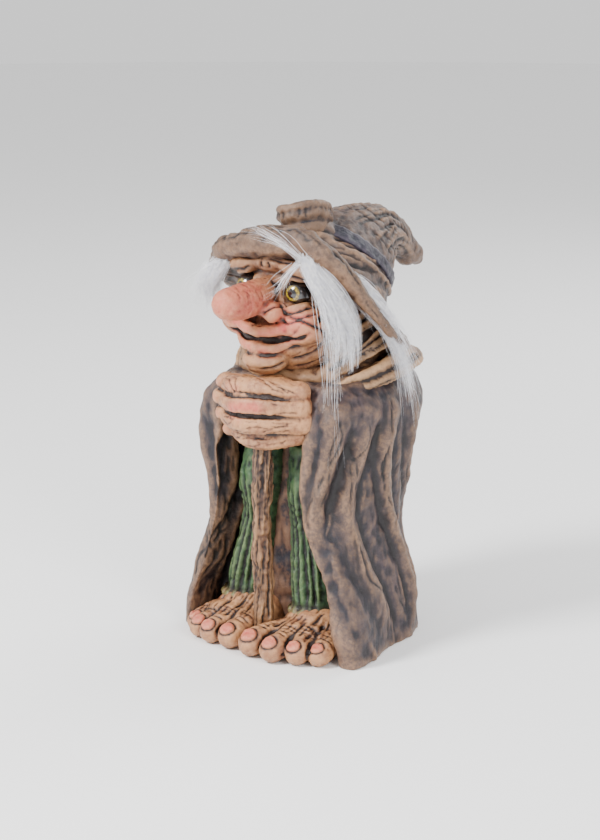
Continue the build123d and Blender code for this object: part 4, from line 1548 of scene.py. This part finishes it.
# Stray hairs: spine and count
LEFT_WISPS = (
    (((24, -36, 150, 2.0), (29, -36, 138, 4), (31, -34, 118, 4), (32, -34, 98, 3.4),
      (33, -34, 76, 3)), 30),
    (((20, -37, 154, 1.0), (15, -40, 148, 2), (12, -41, 143, 2.5), (9, -42, 141, 3)), 26),
    (((21, -37, 154, 1.5), (16, -44, 161, 3), (8, -47, 165, 4), (0, -47, 167, 5)), 34),
    (((24, -35, 150, 2.0), (31, -35, 140, 4), (33, -32, 126, 5), (34, -30, 112, 5)), 90),
)
LOCK_WISPS = (
    (((34, -19, 142, 2), (40, -10, 126, 3), (43, -2, 106, 3), (43, 3, 84, 3)), 30),
)
RIGHT_WISPS = (
    (((-24, -34, 147, 2), (-32, -34, 141, 4), (-38, -31, 135, 5), (-40, -27, 127, 5)), 120),
)


def make_fur():
    """The white tufts glued under the brim."""
    material = fur_paint()
    most = sizes().fur_hairs
    make_tuft("left_fur", LEFT_TUFT, most, 101, "left_hair", material, LEFT_WISPS)
    make_tuft("left_fur_lock", LEFT_LOCK, most // 2, 102, "left_hair_lock", material, LOCK_WISPS)
    make_tuft("right_fur", RIGHT_TUFT, int(most * 0.8), 103, "right_hair", material, RIGHT_WISPS)


# The stage


CAMERA_AZIMUTH = math.radians(40)
CAMERA_RISE = math.radians(14)
CAMERA_DISTANCE = 0.8
CAMERA_TARGET = Vector((0.010, -0.026, 0.090))
CAMERA_LENS = 89.5
SENSOR_WIDTH = 36
LAMP_TARGET = Vector((0, -0.01, 0.09))
# Name, place, size in metres, power in watts
LAMPS = (
    ("key", (-0.25, -0.70, 0.65), 0.28, 15.0),
    ("side", (0.75, -0.30, 0.40), 0.35, 5.0),
    ("back", (0.1, 0.8, 0.6), 0.5, 5.0),
)
SKY_STRENGTH = 1.05
FLOOR_RADIUS = 3.0
FLOOR_COLOUR = (0.93, 0.93, 0.93, 1)


def look_from(obj, place, target):
    """Sets a camera or a lamp at a place, turned to its target."""
    obj.location = place
    obj.rotation_euler = (target - Vector(place)).to_track_quat("-Z", "Y").to_euler()


def make_floor():
    """The pale round floor."""
    bm = bmesh.new()
    bmesh.ops.create_circle(bm, cap_ends=True, segments=64, radius=FLOOR_RADIUS)
    mesh = bpy.data.meshes.new("floor")
    bm.to_mesh(mesh)
    bm.free()
    paint = Paint("pale floor")
    paint.surface(FLOOR_COLOUR, 0.7 + (paint.clouds(40) - 0.5) * 0.04)
    mesh.materials.append(paint.material)
    in_scene("floor", mesh)


def make_stage(scene):
    """The floor, the camera, the white sky and three soft lamps."""
    make_floor()
    data = bpy.data.cameras.new("camera")
    data.lens = CAMERA_LENS
    data.sensor_width = SENSOR_WIDTH
    camera = in_scene("camera", data)
    back = Vector((math.sin(CAMERA_AZIMUTH) * math.cos(CAMERA_RISE),
                   -math.cos(CAMERA_AZIMUTH) * math.cos(CAMERA_RISE), math.sin(CAMERA_RISE)))
    look_from(camera, CAMERA_TARGET + back * CAMERA_DISTANCE, CAMERA_TARGET)
    scene.camera = camera

    world = bpy.data.worlds.new("studio")
    world.use_nodes = True
    sky = world.node_tree.nodes["Background"].inputs
    sky["Color"].default_value = (1, 1, 1, 1)
    sky["Strength"].default_value = SKY_STRENGTH
    scene.world = world
    for name, place, size, power in LAMPS:
        data = bpy.data.lights.new(name, "AREA")
        data.shape = "DISK"
        data.size = size
        data.energy = power
        look_from(in_scene(name, data), place, LAMP_TARGET)


# The add-on


class TROLL_OT_stage(bpy.types.Operator):
    """Lay the floor, the lights and the camera"""

    bl_idname = "troll.stage"
    bl_label = "Stage"

    def execute(self, context):
        make_stage(context.scene)
        return {"FINISHED"}


class TROLL_OT_cloak(bpy.types.Operator):
    """Sculpt the draped cloak and its plug"""

    bl_idname = "troll.cloak"
    bl_label = "Cloak"

    def execute(self, context):
        make_cloak()
        make_plug()
        return {"FINISHED"}


class TROLL_OT_collar(bpy.types.Operator):
    """Sculpt the cloth round the neck"""

    bl_idname = "troll.collar"
    bl_label = "Collar"

    def execute(self, context):
        make_collar()
        return {"FINISHED"}


class TROLL_OT_hat(bpy.types.Operator):
    """Sculpt the floppy hat"""

    bl_idname = "troll.hat"
    bl_label = "Hat"

    def execute(self, context):
        make_brim()
        make_crown()
        make_band()
        make_pleat()
        return {"FINISHED"}


class TROLL_OT_head(bpy.types.Operator):
    """Sculpt the head and set its glass eyes"""

    bl_idname = "troll.head"
    bl_label = "Head"

    def execute(self, context):
        make_head()
        make_eyes()
        return {"FINISHED"}


class TROLL_OT_hands(bpy.types.Operator):
    """Sculpt the clasped hands"""

    bl_idname = "troll.hands"
    bl_label = "Hands"

    def execute(self, context):
        make_left_hand()
        make_right_hand()
        return {"FINISHED"}


class TROLL_OT_stick(bpy.types.Operator):
    """Sculpt the knotty stick"""

    bl_idname = "troll.stick"
    bl_label = "Walking stick"

    def execute(self, context):
        make_stick()
        return {"FINISHED"}


class TROLL_OT_trousers(bpy.types.Operator):
    """Sculpt the trouser legs"""

    bl_idname = "troll.trousers"
    bl_label = "Trousers"

    def execute(self, context):
        make_leg("left_leg_cast", LEFT_LEG, 81, "left_trouser_leg")
        make_leg("right_leg_cast", RIGHT_LEG, 84, "right_trouser_leg")
        return {"FINISHED"}


class TROLL_OT_feet(bpy.types.Operator):
    """Sculpt the bare feet"""

    bl_idname = "troll.feet"
    bl_label = "Feet"

    def execute(self, context):
        make_foot("left_foot_cast", 17.5, LEFT_TOES, 91, "left_foot")
        make_foot("right_foot_cast", -17.5, RIGHT_TOES, 94, "right_foot")
        return {"FINISHED"}


class TROLL_OT_fur(bpy.types.Operator):
    """Grow the tufts of fur"""

    bl_idname = "troll.fur"
    bl_label = "Fur"

    def execute(self, context):
        make_fur()
        return {"FINISHED"}


OPERATORS = (TROLL_OT_stage, TROLL_OT_cloak, TROLL_OT_collar, TROLL_OT_hat, TROLL_OT_head,
             TROLL_OT_hands, TROLL_OT_stick, TROLL_OT_trousers, TROLL_OT_feet, TROLL_OT_fur)


class TROLL_PT_maker(bpy.types.Panel):
    """Lists the steps that make the figure"""

    bl_label = "Cast Troll Figure"
    bl_space_type = "VIEW_3D"
    bl_region_type = "UI"
    bl_category = "Troll"

    def draw(self, context):
        for step in OPERATORS:
            self.layout.operator(step.bl_idname)


CLASSES = (TrollPaints, TrollSizes, *OPERATORS, TROLL_PT_maker)


def register():
    """Adds the operators, the panel and the settings."""
    for each in CLASSES:
        bpy.utils.register_class(each)
    bpy.types.Scene.troll_paints = bpy.props.PointerProperty(type=TrollPaints)
    bpy.types.Scene.troll_sizes = bpy.props.PointerProperty(type=TrollSizes)


def unregister():
    """Takes away what register added."""
    del bpy.types.Scene.troll_sizes
    del bpy.types.Scene.troll_paints
    for each in reversed(CLASSES):
        bpy.utils.unregister_class(each)


def main():
    """Makes the figure step by step."""
    register()
    for step in OPERATORS:
        group, name = step.bl_idname.split(".")
        getattr(getattr(bpy.ops, group), name)()


if __name__ == "__main__":
    main()
